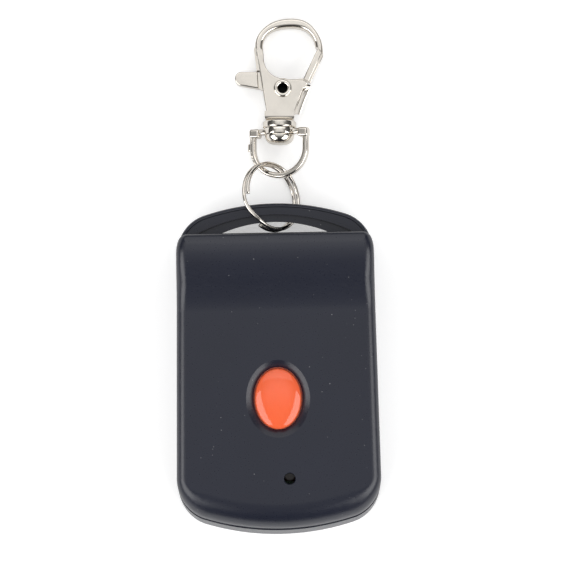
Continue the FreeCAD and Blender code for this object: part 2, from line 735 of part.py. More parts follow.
def key_loop():
    """The loop over the key window, with its stepped inner edge."""
    low = S.seam_height - S.loop_depth
    bar = shared("LoopBar", case_block("LoopBlock", 0 * S.wall, low, S.seam_height),
                 block("LoopLimit", (-S.foot_width, S.end_reach - S.wall * 0.75, low),
                       (S.foot_width, S.head_reach + 1, S.seam_height)))

    def rim(edge):
        box = edge.BoundBox
        point = middle_of(edge)[0]
        return box.ZLength < 0.01 and point.y > float(S.end_reach) + 0.3

    soft = rounded("LoopSoft", bar, even(S.loop_round, rim))
    recess = segment_radius(S.recess_half, S.recess_reach)
    window = segment_radius(S.window_half, S.window_reach)
    step = shared("LoopStep",
                  rod("LoopStepArc", recess, TALL,
                      (0, S.end_reach + S.recess_reach - recess, S.seam_height - S.recess_depth)),
                  block("LoopStepLimit", (-S.foot_width, S.end_reach, low),
                        (S.foot_width, S.head_reach, S.seam_height + 1)))
    hole = shared("LoopHole",
                  rod("LoopHoleArc", window, TALL, (0, S.end_reach + S.window_reach - window, 0)),
                  block("LoopHoleLimit", (-S.foot_width, S.end_reach, 0 * S.wall),
                        (S.foot_width, S.head_reach, S.seam_height + 1)))
    return soft, step, hole


def rear_shell():
    """The back half of the case with the key loop, posts, cradle and label recess."""
    box = shared("RearRaw", case_block("RearBlock", 0 * S.wall, 0 * S.wall, S.seam_height),
                 block("RearLimit", (-S.foot_width, -S.head_reach, 0 * S.wall),
                       (S.foot_width, S.end_reach, S.seam_height)))

    def end_corner(edge):
        return upright(edge) and abs(edge.CenterOfMass.y - float(S.end_reach)) < 0.2

    corners = rounded("RearCorners", box, even(S.end_corner_round, end_corner))

    def back_edge(edge):
        return edge.BoundBox.ZMax < 0.01

    round_back = rounded("RearRounded", corners, even(S.back_round, back_edge))

    def seam_edge(edge):
        return edge.BoundBox.ZMin > float(S.seam_height) - 0.01

    outside = rounded("RearOutside", round_back, even(S.seam_bevel, seam_edge), "Part::Chamfer")
    hollow = shared("RearHollow", case_block("RearHollowBlock", S.wall, S.wall, S.seam_height + 1),
                    block("RearHollowLimit", (-S.foot_width, -S.head_reach, S.wall),
                          (S.foot_width, END_INSIDE, S.seam_height + 1)))
    lip_inset = S.wall + S.lip_gap
    lip = shared("RearLip", lip_wall("RearLipTall", lip_inset, S.seam_height - S.lip_rise,
                                     S.seam_height + S.lip_rise),
                 upper_block("RearLipLimit", lip_inset, S.seam_height - 2 * S.lip_rise))
    shelf = lip_wall("RearShelf", S.wall - S.lip_gap, S.seam_height - S.lip_rise * 1.5,
                     S.seam_height)
    loop, step, hole = key_loop()
    skin = less("RearSkin", outside, hollow)
    adds = [loop, lip, shelf]
    post_radius = S.screw_head_radius + S.post_wall / 2
    for side, x in screw_places():
        adds.append(screw_post("Rear" + side + "Post", x, post_radius, S.wall / 2, S.post_join))
    rest_x = S.head_width / 2 - S.wall - S.board_gap - 2 * S.rest_post_radius
    for side, x in (("Left", -rest_x), ("Right", rest_x)):
        for end, y in (("Low", -S.board_notch_y / 2), ("High", S.coder_y)):
            adds.append(rod("Rear" + side + end + "Rest", S.rest_post_radius,
                            S.board_under - S.wall / 2, (x, y, S.wall / 2)))
    hold = S.battery_radius + S.battery_gap
    for side, x in (("Left", -S.cradle_x), ("Right", S.cradle_x)):
        cheek = block("Rear" + side + "Cheek",
                      (x - S.rib_thick / 2, BATTERY_Y - S.battery_radius, S.wall / 2),
                      (x + S.rib_thick / 2, END_INSIDE + S.wall / 2, S.battery_z))
        adds.append(less("Rear" + side + "Cradle", cheek,
                         rod("Rear" + side + "CradleBore", hold, 4 * S.rib_thick,
                             (x - 2 * S.rib_thick, BATTERY_Y, S.battery_z), "x")))
    whole = fused("RearWhole", skin, *adds)
    tools = [step, hole]
    for side, x in screw_places():
        tools.append(screw_post("Rear" + side + "Sink", x, S.screw_head_radius + S.screw_clear,
                                -1 + 0 * S.wall, head_seat()))
        tools.append(screw_post("Rear" + side + "Way", x, S.screw_radius + S.screw_clear,
                                0 * S.wall, S.post_join + 1))
    label = block("LabelRaw", (-S.label_width / 2, S.label_start, -1 + 0 * S.wall),
                  (S.label_width / 2, S.label_start + S.label_length, S.label_depth))
    tools.append(rounded("LabelRecess", label, even(1.5, upright)))
    node("rear_shell", less("RearShell", whole, *tools))


def case_screws():
    """Two pan-head screws that go up through the rear shell into the front posts."""
    screws = []
    for side, x in screw_places():
        y = -S.screw_back
        head = rod("Head" + side, S.screw_head_radius, S.screw_head_high, (x, y, S.screw_sink))
        soft = rounded("SoftHead" + side, head,
                       even(0.35, lambda edge: edge.BoundBox.ZMax < float(S.screw_sink) + 0.01))
        shank = rod("Shank" + side, S.screw_radius, S.screw_length, (x, y, head_seat()))
        reach = S.screw_head_radius * 0.6
        half = S.screw_slot / 2
        depth = S.screw_sink + S.screw_head_high * 0.6
        along = block("SlotA" + side, (x - reach, y - half, 0 * S.wall), (x + reach, y + half, depth))
        over = block("SlotB" + side, (x - half, y - reach, 0 * S.wall), (x + half, y + reach, depth))
        screws.append(less("Screw" + side, fused("Solid" + side, soft, shank), along, over))
    node("case_screws", group("CaseScrews", *screws))


def button_cap():
    """The oval button: domed top, rounded rim and a hidden flange that keeps it in."""
    top = S.face_height + S.button_proud
    stem = oval_block("ButtonStem", S.button_wide / 2, S.button_long / 2, S.button_x, BUTTON_Y,
                      FLANGE_FOOT, top + 1)
    crown = document.addObject("Part::Ellipsoid", "ButtonCrown")
    share = 1 - float(S.button_crown / S.button_crown_radius)
    spread = math.sqrt(1 - share ** 2)
    bind(crown, Radius1=S.button_crown_radius, Radius2=S.button_wide / 2 / spread,
         Radius3=S.button_long / 2 / spread)
    place(crown, S.button_x, BUTTON_Y, top - S.button_crown_radius)
    tall = oval_block("ButtonCore", S.button_wide, S.button_long, S.button_x, BUTTON_Y,
                      FLANGE_FOOT - 1, top - S.button_crown_radius)
    dome = shared("ButtonDome", stem, fused("ButtonCrownTall", crown, tall))
    rim_height = float(top - S.button_crown)

    def rim(edge):
        return abs(edge.CenterOfMass.z - rim_height) < 0.3 and edge.Length > float(S.button_long)

    soft = rounded("ButtonSoft", dome, even(S.button_rim, rim))
    flange = oval_block("ButtonFlange", S.button_wide / 2 + S.button_flange,
                        S.button_long / 2 + S.button_flange, S.button_x, BUTTON_Y,
                        FLANGE_FOOT, FLANGE_TOP)
    foot = rod("ButtonFoot", S.plunger_radius, FLANGE_FOOT + 0.01 - PLUNGER_TOP - S.plunger_touch,
               (S.button_x, BUTTON_Y, PLUNGER_TOP + S.plunger_touch))
    node("button_cap", fused("ButtonCap", soft, flange, foot))


def switch_base():
    """The push switch's moulded base, with the well that its plunger works in."""
    body = new_body("SwitchBase")
    half = S.switch_side / 2
    plan = sketch_on(body, "SwitchPlan", "XY_Plane", BOARD_TOP + S.solder_gap)
    rectangle(plan, (S.button_x - half, BUTTON_Y - half), (S.button_x + half, BUTTON_Y + half))
    pad(body, "SwitchBlock", plan, S.switch_high)
    well = sketch_on(body, "SwitchWellPlan", "XY_Plane", BOARD_TOP + S.solder_gap + S.switch_high)
    round_hole(well, (S.button_x, BUTTON_Y), S.plunger_foot + S.plunger_gap)
    pocket(body, "SwitchWell", well, S.well_depth)
    node("tact_switch_base", body)


def switch_cover():
    """The sheet-metal cover over the push switch."""
    body = new_body("SwitchCover")
    half = S.switch_side / 2
    low = BOARD_TOP + S.solder_gap + S.switch_high
    plan = sketch_on(body, "CoverPlan", "XY_Plane", low)
    rectangle(plan, (S.button_x - half, BUTTON_Y - half), (S.button_x + half, BUTTON_Y + half))
    round_hole(plan, (S.button_x, BUTTON_Y), S.plunger_radius + S.plunger_gap)
    pad(body, "CoverSheet", plan, S.switch_cover)
    node("tact_switch_cover", body)


def switch_plunger():
    """The plunger that the button pushes, with its wider foot in the well."""
    body = new_body("SwitchPlunger")
    cover = BOARD_TOP + S.solder_gap + S.switch_high
    foot = cover - S.well_depth + DOME_RISE + S.solder_gap
    plan = sketch_on(body, "PlungerFootPlan", "XY_Plane", foot)
    round_hole(plan, (S.button_x, BUTTON_Y), S.plunger_foot)
    pad(body, "PlungerFoot", plan, cover - foot - S.plunger_gap / 2)
    stem = sketch_on(body, "PlungerStemPlan", "XY_Plane", foot)
    round_hole(stem, (S.button_x, BUTTON_Y), S.plunger_radius)
    pad(body, "PlungerStem", stem, PLUNGER_TOP - foot)
    node("tact_switch_plunger", body)


def snap_dome():
    """The springy dome under the plunger."""
    low = BOARD_TOP + S.solder_gap + S.switch_high - S.well_depth
    radius = float(segment_radius(S.plunger_foot, DOME_RISE))
    centre = Vector(float(S.button_x), float(BUTTON_Y), float(low + DOME_RISE) - radius)
    outer = Part.makeSphere(radius, centre)
    inner = Part.makeSphere(radius - float(S.dome_thick), centre)
    side = float(S.plunger_foot) * 3
    limit = Part.makeBox(side, side, float(DOME_RISE),
                         Vector(centre.x - side / 2, centre.y - side / 2, float(low)))
    node("tact_switch_dome", shaped("SnapDome", outer.cut(inner).common(limit)))


def gull_leg(root, outward, reach, drop, wide, thick):
    """A solder leg: out from its root, down to the board and out again to a foot."""
    side = outward.cross(Vector(0, 0, 1))
    out = outward * reach
    steps = [(0.0, 0.0), (0.45, 0.0), (0.45, -drop + thick), (1.0, -drop + thick),
             (1.0, -drop), (0.45 - thick / reach, -drop), (0.45 - thick / reach, -thick),
             (0.0, -thick)]
    corners = []
    for share, height in steps:
        corners.append(root + out * share + Vector(0, 0, height) - side * (wide / 2))
    face = Part.Face(Part.makePolygon(corners + corners[:1]))
    return face.extrude(side * wide)


def leg_rows(centre, half, places, along, level, reach, wide):
    """Two facing rows of solder legs: places run along one axis, legs point along the other."""
    legs = []
    sideways = Vector(0, 1, 0) if along == "x" else Vector(1, 0, 0)
    onward = Vector(1, 0, 0) if along == "x" else Vector(0, 1, 0)
    drop = level - float(BOARD_TOP + S.solder_gap)
    for sign in (-1, 1):
        for shift in places:
            root = centre + onward * shift + sideways * (sign * half)
            legs.append(gull_leg(root, sideways * sign, reach, drop, wide, float(S.leg_thick)))
    return Part.Compound(legs)


def switch_legs():
    """The push switch's four solder legs."""
    level = float(BOARD_TOP + S.solder_gap + S.leg_thick) + 0.6
    shift = float(S.switch_side) / 2 - float(S.leg_wide)
    centre = Vector(float(S.button_x), float(BUTTON_Y), level)
    legs = leg_rows(centre, float(S.switch_side) / 2, (-shift, shift), "y", level,
                    float(S.leg_foot), float(S.leg_wide))
    node("tact_switch_legs", shaped("SwitchLegs", legs))


def circuit_board():
    """The circuit board, notched for the screw posts and forked round the battery."""
    body = new_body("CircuitBoard")
    half = S.head_width / 2 - S.wall - S.board_gap
    fork_x = S.contact_half + S.contact_thick + S.lip_gap
    fork_y = BATTERY_Y - S.battery_radius - S.battery_gap
    tips = END_INSIDE - S.lip_thick - 3 * S.lip_gap
    plan = sketch_on(body, "BoardPlan", "XY_Plane", S.board_under)
    notch_x = S.board_notch_x
    notch_y = -S.board_notch_y
    outline(plan, [(-half, notch_y), (-notch_x, notch_y), (-notch_x, -S.board_foot),
                   (notch_x, -S.board_foot), (notch_x, notch_y), (half, notch_y),
                   (half, tips), (fork_x, tips), (fork_x, fork_y), (-fork_x, fork_y),
                   (-fork_x, tips), (-half, tips)])
    pad(body, "BoardSheet", plan, S.board_thick)
    node("circuit_board", body)


def indicator_led():
    """The small indicator lamp on the board, under the lamp hole."""
    body = new_body("IndicatorLed")
    low = BOARD_TOP + S.solder_gap
    base = sketch_on(body, "LedPlan", "XY_Plane", low)
    rectangle(base, (S.lamp_x - 1.6, -S.lamp_back - 0.8), (S.lamp_x + 1.6, -S.lamp_back + 0.8))
    pad(body, "LedBase", base, 0.5 + 0 * S.wall)
    lens = sketch_on(body, "LedLensPlan", "XY_Plane", low + 0.5)
    round_hole(lens, (S.lamp_x, -S.lamp_back), 0.75)
    pad(body, "LedLens", lens, 0.7 + 0 * S.wall)
    node("indicator_led", body)


def coder_start():
    """The first slider's distance from the middle plane."""
    return -S.slider_pitch * (CODE_COUNT - 1) / 2


def slot_half():
    """Half the length of a slider's slot."""
    return (S.slider_long + S.slider_travel) / 2 + S.slider_gap


def code_switch():
    """The code switch's housing with one slot for each slider."""
    body = new_body("CodeSwitch")
    low = BOARD_TOP + S.solder_gap
    half = -coder_start() + S.coder_margin
    plan = sketch_on(body, "CoderPlan", "XY_Plane", low)
    rectangle(plan, (-half, S.coder_y - S.coder_wide / 2), (half, S.coder_y + S.coder_wide / 2))
    pad(body, "CoderBlock", plan, S.coder_high)
    slot = sketch_on(body, "CoderSlotPlan", "XY_Plane", low + S.coder_high)
    reach = S.slider_wide / 2 + S.slider_gap
    rectangle(slot, (coder_start() - reach, S.coder_y - slot_half()),
              (coder_start() + reach, S.coder_y + slot_half()))
    cut = pocket(body, "CoderSlot", slot, S.slot_depth)
    row_of(body, "CoderSlots", cut, slot, S.slider_pitch, CODE_COUNT)
    node("code_switch_housing", body)


def code_sliders():
    """The ten sliders, each standing at one end of its slot."""
    low = BOARD_TOP + S.solder_gap + S.coder_high - S.slot_depth + S.slider_gap
    high = BOARD_TOP + S.solder_gap + S.coder_high + S.slider_proud
    for number in range(CODE_COUNT):
        name = f"CodeSlider{number + 1:02d}"
        body = new_body(name)
        x = coder_start() + S.slider_pitch * number
        side = 1 if number in CODES_ON else -1
        y = S.coder_y + S.slider_travel / 2 * side
        plan = sketch_on(body, name + "Plan", "XY_Plane", low)
        rectangle(plan, (x - S.slider_wide / 2, y - S.slider_long / 2),
                  (x + S.slider_wide / 2, y + S.slider_long / 2))
        pad(body, name + "Block", plan, high - low)
        node(f"code_slider_{number + 1:02d}", body)


def code_switch_legs():
    """The code switch's twenty solder legs."""
    level = float(BOARD_TOP + S.solder_gap) + 1.0
    places = [float(coder_start() + S.slider_pitch * n) for n in range(CODE_COUNT)]
    legs = leg_rows(Vector(0, float(S.coder_y), level), float(S.coder_wide) / 2, places, "x",
                    level, float(S.coder_leg_reach), float(S.coder_leg))
    node("code_switch_legs", shaped("CodeSwitchLegs", legs))


def encoder_chip():
    """The encoder chip's moulded body, with a dimple at its first leg."""
    body = new_body("EncoderChip")
    low = BOARD_TOP + S.chip_lift
    half = S.chip_wide / 2
    reach = chip_half()
    plan = sketch_on(body, "ChipPlan", "XY_Plane", low)
    rectangle(plan, (-S.chip_x - half, -S.chip_back - reach), (-S.chip_x + half, -S.chip_back + reach))
    pad(body, "ChipBlock", plan, S.chip_high)
    dimple = sketch_on(body, "ChipDimplePlan", "XY_Plane", low + S.chip_high)
    round_hole(dimple, (-S.chip_x - half + 1, -S.chip_back + reach - 1), 0.4)
    pocket(body, "ChipDimple", dimple, 0.15)
    node("encoder_chip", body)


CHIP_LEGS = 8


def chip_half():
    """Half the length of the encoder chip's body."""
    return S.chip_pitch * (CHIP_LEGS - 1) / 2 + 0.75


def encoder_legs():
    """The encoder chip's solder legs."""
    level = float(BOARD_TOP + S.chip_lift + S.chip_high / 2)
    places = [float(S.chip_pitch) * (n - (CHIP_LEGS - 1) / 2) for n in range(CHIP_LEGS)]
    legs = leg_rows(Vector(-float(S.chip_x), -float(S.chip_back), level), float(S.chip_wide) / 2,
                    places, "y", level, float(S.chip_leg_reach), float(S.chip_leg))
    node("encoder_chip_legs", shaped("EncoderLegs", legs))


def resonator_can():
    """The round metal can of the radio resonator."""
    x = S.can_x
    y = -S.can_back
    low = BOARD_TOP + S.solder_gap
    rim = rod("CanRim", S.can_radius + S.can_rim, S.can_rim_high, (x, y, low))
    can = rod("CanBody", S.can_radius, S.can_high, (x, y, low))
    soft = rounded("CanSoft", can,
                   even(0.5, lambda edge: edge.BoundBox.ZMin > float(low + S.can_high) - 0.01))
    node("resonator_can", fused("ResonatorCan", rim, soft))


def board_chip(x, y, long, wide, high):
    """A small chip on the board, long in X."""
    low = float(BOARD_TOP + S.solder_gap)
    return Part.makeBox(long, wide, high, Vector(x - long / 2, y - wide / 2, low))


def radio_transistor():
    """The radio transistor: a small moulded body on three flat legs."""
    low = float(BOARD_TOP + S.solder_gap)
    x = float(S.can_x) - 1
    y = -float(S.can_back) - 8.2
    body = Part.makeBox(2.9, 1.3, 0.9, Vector(x - 1.45, y - 0.65, low + 0.12))
    parts = [body]
    for shift, way in ((-0.95, -1), (0.95, -1), (0, 1)):
        edge = y + way * 0.65
        parts.append(Part.makeBox(0.4, 0.55, 0.12,
                                  Vector(x + shift - 0.2, min(edge, edge + way * 0.55), low)))
    node("radio_transistor", shaped("RadioTransistor", Part.Compound(parts)))


def chip_resistors():
    """The chip resistors."""
    rows = [(-6.6, -15.2), (-3.6, -15.2), (-0.6, -15.2), (-6.6, -17.6), (-3.6, -17.6),
            (5.6, -0.6), (-14.6, -13.8), (-14.6, -15.8)]
    chips = [board_chip(x, y, 2.0, 1.25, 0.5) for x, y in rows]
    node("chip_resistors", shaped("ChipResistors", Part.Compound(chips)))


def chip_capacitors():
    """The chip capacitors."""
    rows = [(3.6, -15.2), (6.6, -15.2), (5.6, -9.6), (14.6, -14.6), (-3.6, -20.2), (-6.6, -20.2)]
    chips = [board_chip(x, y, 2.0, 1.25, 0.9) for x, y in rows]
    node("chip_capacitors", shaped("ChipCapacitors", Part.Compound(chips)))


def loop_antenna():
    """The printed loop antenna round the board's foot."""
    body = new_body("LoopAntenna")
    out_x = S.board_notch_x - S.trace_edge
    in_x = out_x - S.trace_wide
    out_y = -S.board_foot + S.trace_edge
    in_y = out_y + S.trace_wide
    plan = sketch_on(body, "AntennaPlan", "XY_Plane", BOARD_TOP)
    outline(plan, [(-out_x, out_y), (out_x, out_y), (out_x, -S.trace_top - 4), (in_x, -S.trace_top - 4),
                   (in_x, in_y), (-in_x, in_y), (-in_x, -S.trace_top - 4), (-out_x, -S.trace_top - 4)])
    pad(body, "AntennaTrace", plan, S.trace_thick)
    node("loop_antenna", body)


def battery():
    """The battery's can, with its positive nub and the printed sleeve round it."""
    nub_end = S.contact_half - S.contact_press
    can_end = nub_end - S.nub_length
    can_start = can_end - S.battery_length
    y = BATTERY_Y
    z = S.battery_z
    can = rod("CanShell", S.battery_radius - S.sleeve_thick, S.battery_length, (can_start, y, z), "x")
    soft = rounded("CanShellSoft", can, even(0.4, lambda edge: edge.Closed and edge.Length > 5))
    nub = rod("CanNub", S.nub_radius, S.nub_length + 0.5, (can_end - 0.5, y, z), "x")
    node("battery_can", fused("BatteryCan", soft, nub))
    start = can_start + S.sleeve_inset
    length = S.battery_length - S.sleeve_inset * 2
    outer = rod("SleeveOut", S.battery_radius, length, (start, y, z), "x")
    inner = rod("SleeveIn", S.battery_radius - S.sleeve_thick, length + 2, (start - 1, y, z), "x")
    node("battery_sleeve", less("BatterySleeve", outer, inner))


def contact_plate(name, side):
    """A battery contact: an upright plate with a tab soldered to the board's arm."""
    inner = S.contact_half * side
    outer = (S.contact_half + S.contact_thick) * side
    low_x, high_x = (inner, outer) if side > 0 else (outer, inner)
    half = S.contact_wide / 2
    plate = block(name + "Plate", (low_x, BATTERY_Y - half, BOARD_TOP - S.board_thick),
                  (high_x, BATTERY_Y + half, S.battery_z + S.contact_rise))
    end = (S.contact_half + S.contact_thick + S.contact_tab) * side
    tab_low, tab_high = (inner, end) if side > 0 else (end, inner)
    tab = block(name + "Tab", (tab_low, BATTERY_Y - half / 2, BOARD_TOP + S.solder_gap),
                (tab_high, BATTERY_Y + half / 2, BOARD_TOP + S.solder_gap + S.contact_thick))
    return fused(name, plate, tab)


def battery_spring():
    """The conical spring that presses on the battery's flat end."""
    start = -float(S.contact_half) + float(S.coil_wire) / 2 + 0.02
    end = float(S.contact_half - S.contact_press - S.nub_length - S.battery_length)
    end -= float(S.coil_wire) / 2 + 0.02
    turns = 2.5
    steps = 10
    large = float(S.coil_large)
    small = float(S.coil_small)

    def point(share):
        angle = 2 * math.pi * turns * share
        radius = large + (small - large) * share
        return Vector(start + (end - start) * share, float(BATTERY_Y) + radius * math.cos(angle),
                      float(S.battery_z) + radius * math.sin(angle))

    wire, least = biarc_path(point, steps, float(S.coil_wire))
    print(f"battery spring: least gap between turns {least:.2f} mm")
    node("battery_spring", shaped("BatterySpring", tube(wire, float(S.coil_wire) / 2)))


def tangent_arc(first, way, last):
    """The arc that leaves a point in a given direction and ends at another."""
    chord = last - first
    along = chord.normalize()
    half = last - first
    cosine = max(min(way.dot(along), 1.0), -1.0)
    if cosine > 1 - 1e-9:
        return Part.LineSegment(first, last)
    reach = half.Length / 2 / cosine
    knee = first + way * reach
    middle = (first + knee * (2 * cosine) + last) * (1 / (2 + 2 * cosine))
    return Part.Arc(first, middle, last)


def biarc(first, way_in, last, way_out):
    """Two arcs, tangent to each other, between two points with given directions."""
    span = last - first
    both = way_in + way_out
    scale = 2 * (1 - way_in.dot(way_out))
    if scale < 1e-9:
        reach = span.dot(span) / (4 * span.dot(way_out))
    else:
        lead = span.dot(both)
        reach = (math.sqrt(lead ** 2 + scale * span.dot(span)) - lead) / scale
    knee_in = first + way_in * reach
    knee_out = last - way_out * reach
    joint = (knee_in + knee_out) * 0.5
    turned = (knee_out - knee_in).normalize()
    return [tangent_arc(first, way_in, joint), tangent_arc(joint, turned, last)]


def biarc_path(point, steps, thick, first=0.0, last=1.0):
    """A path of biarcs through points of a formula, and its least gap to itself."""
    shares = [first + (last - first) * n / steps for n in range(steps + 1)]
    small = 1e-4
    curves = []
    for here, there in zip(shares, shares[1:]):
        way_in = (point(here + small) - point(here - small)).normalize()
        way_out = (point(there + small) - point(there - small)).normalize()
        curves += biarc(point(here), way_in, point(there), way_out)
    return curves, least_gap(curves, thick)


def least_gap(curves, thick):
    """The least gap of a wire to itself, measured on points along it."""
    points = []
    for curve in curves:
        edge = curve.toShape()
        points += edge.discretize(Number=12)[:-1]
    lengths = [0.0]
    for here, there in zip(points, points[1:]):
        lengths.append(lengths[-1] + (there - here).Length)
    least = 1e9
    for index, here in enumerate(points):
        for other in range(index + 1, len(points)):
            if lengths[other] - lengths[index] > 4 * thick:
                least = min(least, (points[other] - here).Length - thick)
    return least


def tube(curves, radius):
    """A round wire along a path of arcs."""
    path = Part.Wire([curve.toShape() for curve in curves])
    start = path.Edges[0].valueAt(path.Edges[0].FirstParameter)
    way = path.Edges[0].tangentAt(path.Edges[0].FirstParameter)
    section = Part.Wire([Part.Circle(start, way, radius).toShape()])
    return Part.Wire(path).makePipeShell([section], True, False)


# The ring's pose: its plane is tilted, low at the upper right and high at the lower left

TILT = math.radians(float(S.ring_tilt))
HEADING = math.radians(float(S.ring_heading))
RING_ACROSS = Vector(math.sin(HEADING), -math.cos(HEADING), 0)
RING_DOWN = Vector(math.cos(TILT) * math.cos(HEADING), math.cos(TILT) * math.sin(HEADING),
                   -math.sin(TILT))
RING_NORMAL = Vector(math.sin(TILT) * math.cos(HEADING), math.sin(TILT) * math.sin(HEADING),
                     math.cos(TILT))
RING_PITCH = float(S.ring_wire + S.ring_gap)


def ring_centre():
    """The ring's centre: it touches the end wall on one side and the table on another."""
    radius = float(S.ring_radius)
    reach = radius * math.hypot(math.cos(HEADING), math.cos(TILT) * math.sin(HEADING))
    half = float(S.ring_wire) / 2
    x = float(S.ring_shift)
    y = float(S.end_reach + S.ring_clear) + half + reach + RING_PITCH / 2 * RING_NORMAL.y
    z = float(S.ring_lift) + half + radius * math.sin(TILT) + RING_PITCH / 2 * RING_NORMAL.z
    return Vector(x, y, z)


RING_CENTRE = ring_centre()


def ring_point(angle, level):
    """A point of the ring at an angle round it and a level along its axis."""
    turned = math.radians(angle)
    outward = RING_ACROSS * math.cos(turned) + RING_DOWN * math.sin(turned)
    return RING_CENTRE + outward * float(S.ring_radius) + RING_NORMAL * level


def ring_way(angle):
    """The direction of the ring at an angle round it."""
    turned = math.radians(angle)
    return RING_DOWN * math.cos(turned) - RING_ACROSS * math.sin(turned)


def flat_arc(first, last, level):
    """An arc of the ring between two angles."""
    return Part.Arc(ring_point(first, level), ring_point((first + last) / 2, level),
                    ring_point(last, level))


def split_ring():
    """The split ring: two flat turns of round wire with a change-over between them."""
    start = float(S.ring_joint + S.ring_overlap)
    leave = start + 360 - 2 * float(S.ring_overlap)
    join = leave + 2 * float(S.ring_overlap)
    end = join + 360 - 2 * float(S.ring_overlap)
    low = -RING_PITCH / 2
    high = RING_PITCH / 2
    curves = [flat_arc(start, (start + leave) / 2, low), flat_arc((start + leave) / 2, leave, low)]
    curves += biarc(ring_point(leave, low), ring_way(leave), ring_point(join, high), ring_way(join))
    curves += [flat_arc(join, (join + end) / 2, high), flat_arc((join + end) / 2, end, high)]
    print(f"split ring: least gap between turns {least_gap(curves, float(S.ring_wire)):.2f} mm")
    node("split_ring", shaped("SplitRing", tube(curves, float(S.ring_wire) / 2)))


# The clasp has its own frame at the swivel: x right, y along the swivel's axis, z up

CLASP_TURN = Rotation(Vector(0, 0, 1), -float(S.clasp_lean)).multiply(
    Rotation(Vector(1, 0, 0), -float(S.clasp_pitch)))
CLASP_AT = Vector(float(S.clasp_x), RING_CENTRE.y + float(S.clasp_over), float(S.clasp_z))
CLASP = Placement(CLASP_AT, CLASP_TURN)


def set_clasp(item, roll=0.0):
    """Move a finished piece of the clasp from its own frame to its place."""
    turned = Placement(Vector(), Rotation(Vector(0, 1, 0), -roll))
    item.Placement = CLASP.multiply(turned).multiply(item.Placement)
    return item


def upright_block(name, corners, low, high, arcs=()):
    """A plate from its outline, between two heights; arcs lists (corner, middle point)."""
    bent = dict(arcs)
    flat = [Vector(float(x), float(y), float(low)) for x, y in corners]
    edges = []
    for index, here in enumerate(flat):
        there = flat[(index + 1) % len(flat)]
        if index in bent:
            knee = Vector(float(bent[index][0]), float(bent[index][1]), float(low))
            edges.append(Part.Arc(here, knee, there).toShape())
        else:
            edges.append(Part.LineSegment(here, there).toShape())
    solid = Part.Face(Part.Wire(edges)).extrude(Vector(0, 0, float(high) - float(low)))
    return shaped(name, solid)


def swivel_bail():
    """The bail: a D of cast metal with shoulders and a boss for the swivel."""
    half = S.bail_wide / 2
    deep = S.bail_deep / 2
    out = S.bail_radius + half
    inner = S.bail_radius - half
    sheets = []
    for name, reach, over in (("Out", out, S.boss_over), ("In", inner, -S.boss_under)):
        bend = rod("BailBend" + name, reach, S.bail_deep, (0, -S.bail_leg, -deep))
        legs = block("BailLegs" + name, (-reach, -S.bail_leg, -deep), (reach, over, deep))
        limit = block("BailLimit" + name, (-reach, -2 * S.bail_radius - S.bail_leg, -deep),
                      (reach, over, deep))
        sheets.append(shared("Bail" + name, fused("BailJoined" + name, bend, legs), limit))
    body = less("BailLoop", *sheets)
    document.recompute()

    def rim(edge):
        flat = edge.BoundBox.ZLength < 0.01
        return flat and abs(abs(edge.CenterOfMass.z) - float(deep)) < 0.01

    adds = [rounded("BailSoft", body, even(S.bail_round, rim))]
    outer_x = out + 0.02
    for side, low, high in (("Left", -outer_x, S.shoulder_wide - outer_x),
                            ("Right", outer_x - S.shoulder_wide, outer_x)):
        lump = block("Shoulder" + side,
                     (low, S.boss_over - S.shoulder_long, -S.shoulder_deep / 2),
                     (high, S.boss_over + 0.05, S.shoulder_deep / 2))
        adds.append(rounded("ShoulderSoft" + side, lump, even(0.5, lambda edge: True)))
    mark = rod("BailMark", 0.55 + 0 * half, 1.7 + 0 * half, (-out, -S.bail_leg - 0.6, 0), "y")
    adds.append(rounded("BailMarkSoft", mark, even(0.3, lambda edge: edge.Closed)))
    boss = rod("BailBoss", S.boss_radius, S.boss_under + S.boss_over, (0, -S.boss_under, 0), "y")
    adds.append(boss)
    bore = rod("BailBore", S.swivel_radius + S.swivel_clear, TALL / 6 + 0 * half, (0, -TALL / 12, 0),
               "y")
    return less("BailWhole", fused("BailSolid", *adds), bore)


def swivel_rivet():
    """The swivel: a domed head inside the bail on a shank that is fixed in the hook."""
    play = S.swivel_play
    head_top = -S.boss_under - play
    shank = rod("SwivelShank", S.swivel_radius, S.collar_long + S.boss_over + S.boss_under + 2 * play,
                (0, head_top, 0), "y")
    dome = rod("SwivelHead", S.swivel_head, S.swivel_dome, (0, head_top - S.swivel_dome, 0), "y")

    def far_rim(edge):
        return edge.BoundBox.YMax < float(head_top) - 0.1 and edge.Closed

    soft = rounded("SwivelHeadSoft", dome, even(S.swivel_dome * 0.85, far_rim))
    return fused("SwivelRivet", shank, soft)




# The hook's bend: angle from +X in degrees, and distance from its centre as a share of its radius

HOOK_OUTSIDE = ((186.0, 1.13), (176.0, 1.16), (167.0, 1.19), (153.4, 1.214), (138.9, 1.2),
                (120.9, 1.18), (105.0, 1.158), (90.8, 1.155), (74.0, 1.18), (58.8, 1.2),
                (42.2, 1.177), (26.9, 1.162), (14.8, 1.157), (0.0, 1.15), (-10.0, 1.16))
HOOK_INSIDE = ((-10.0, 0.915), (0.0, 0.905), (9.0, 0.9), (21.0, 0.916), (34.5, 0.929),
               (50.4, 0.929), (69.2, 0.88), (91.1, 0.839), (111.2, 0.864), (129.9, 0.922),
               (145.2, 0.951), (158.4, 0.938), (171.6, 0.9), (186.0, 0.872))

# Corners of flat pieces of the clasp, in millimetres in its own frame

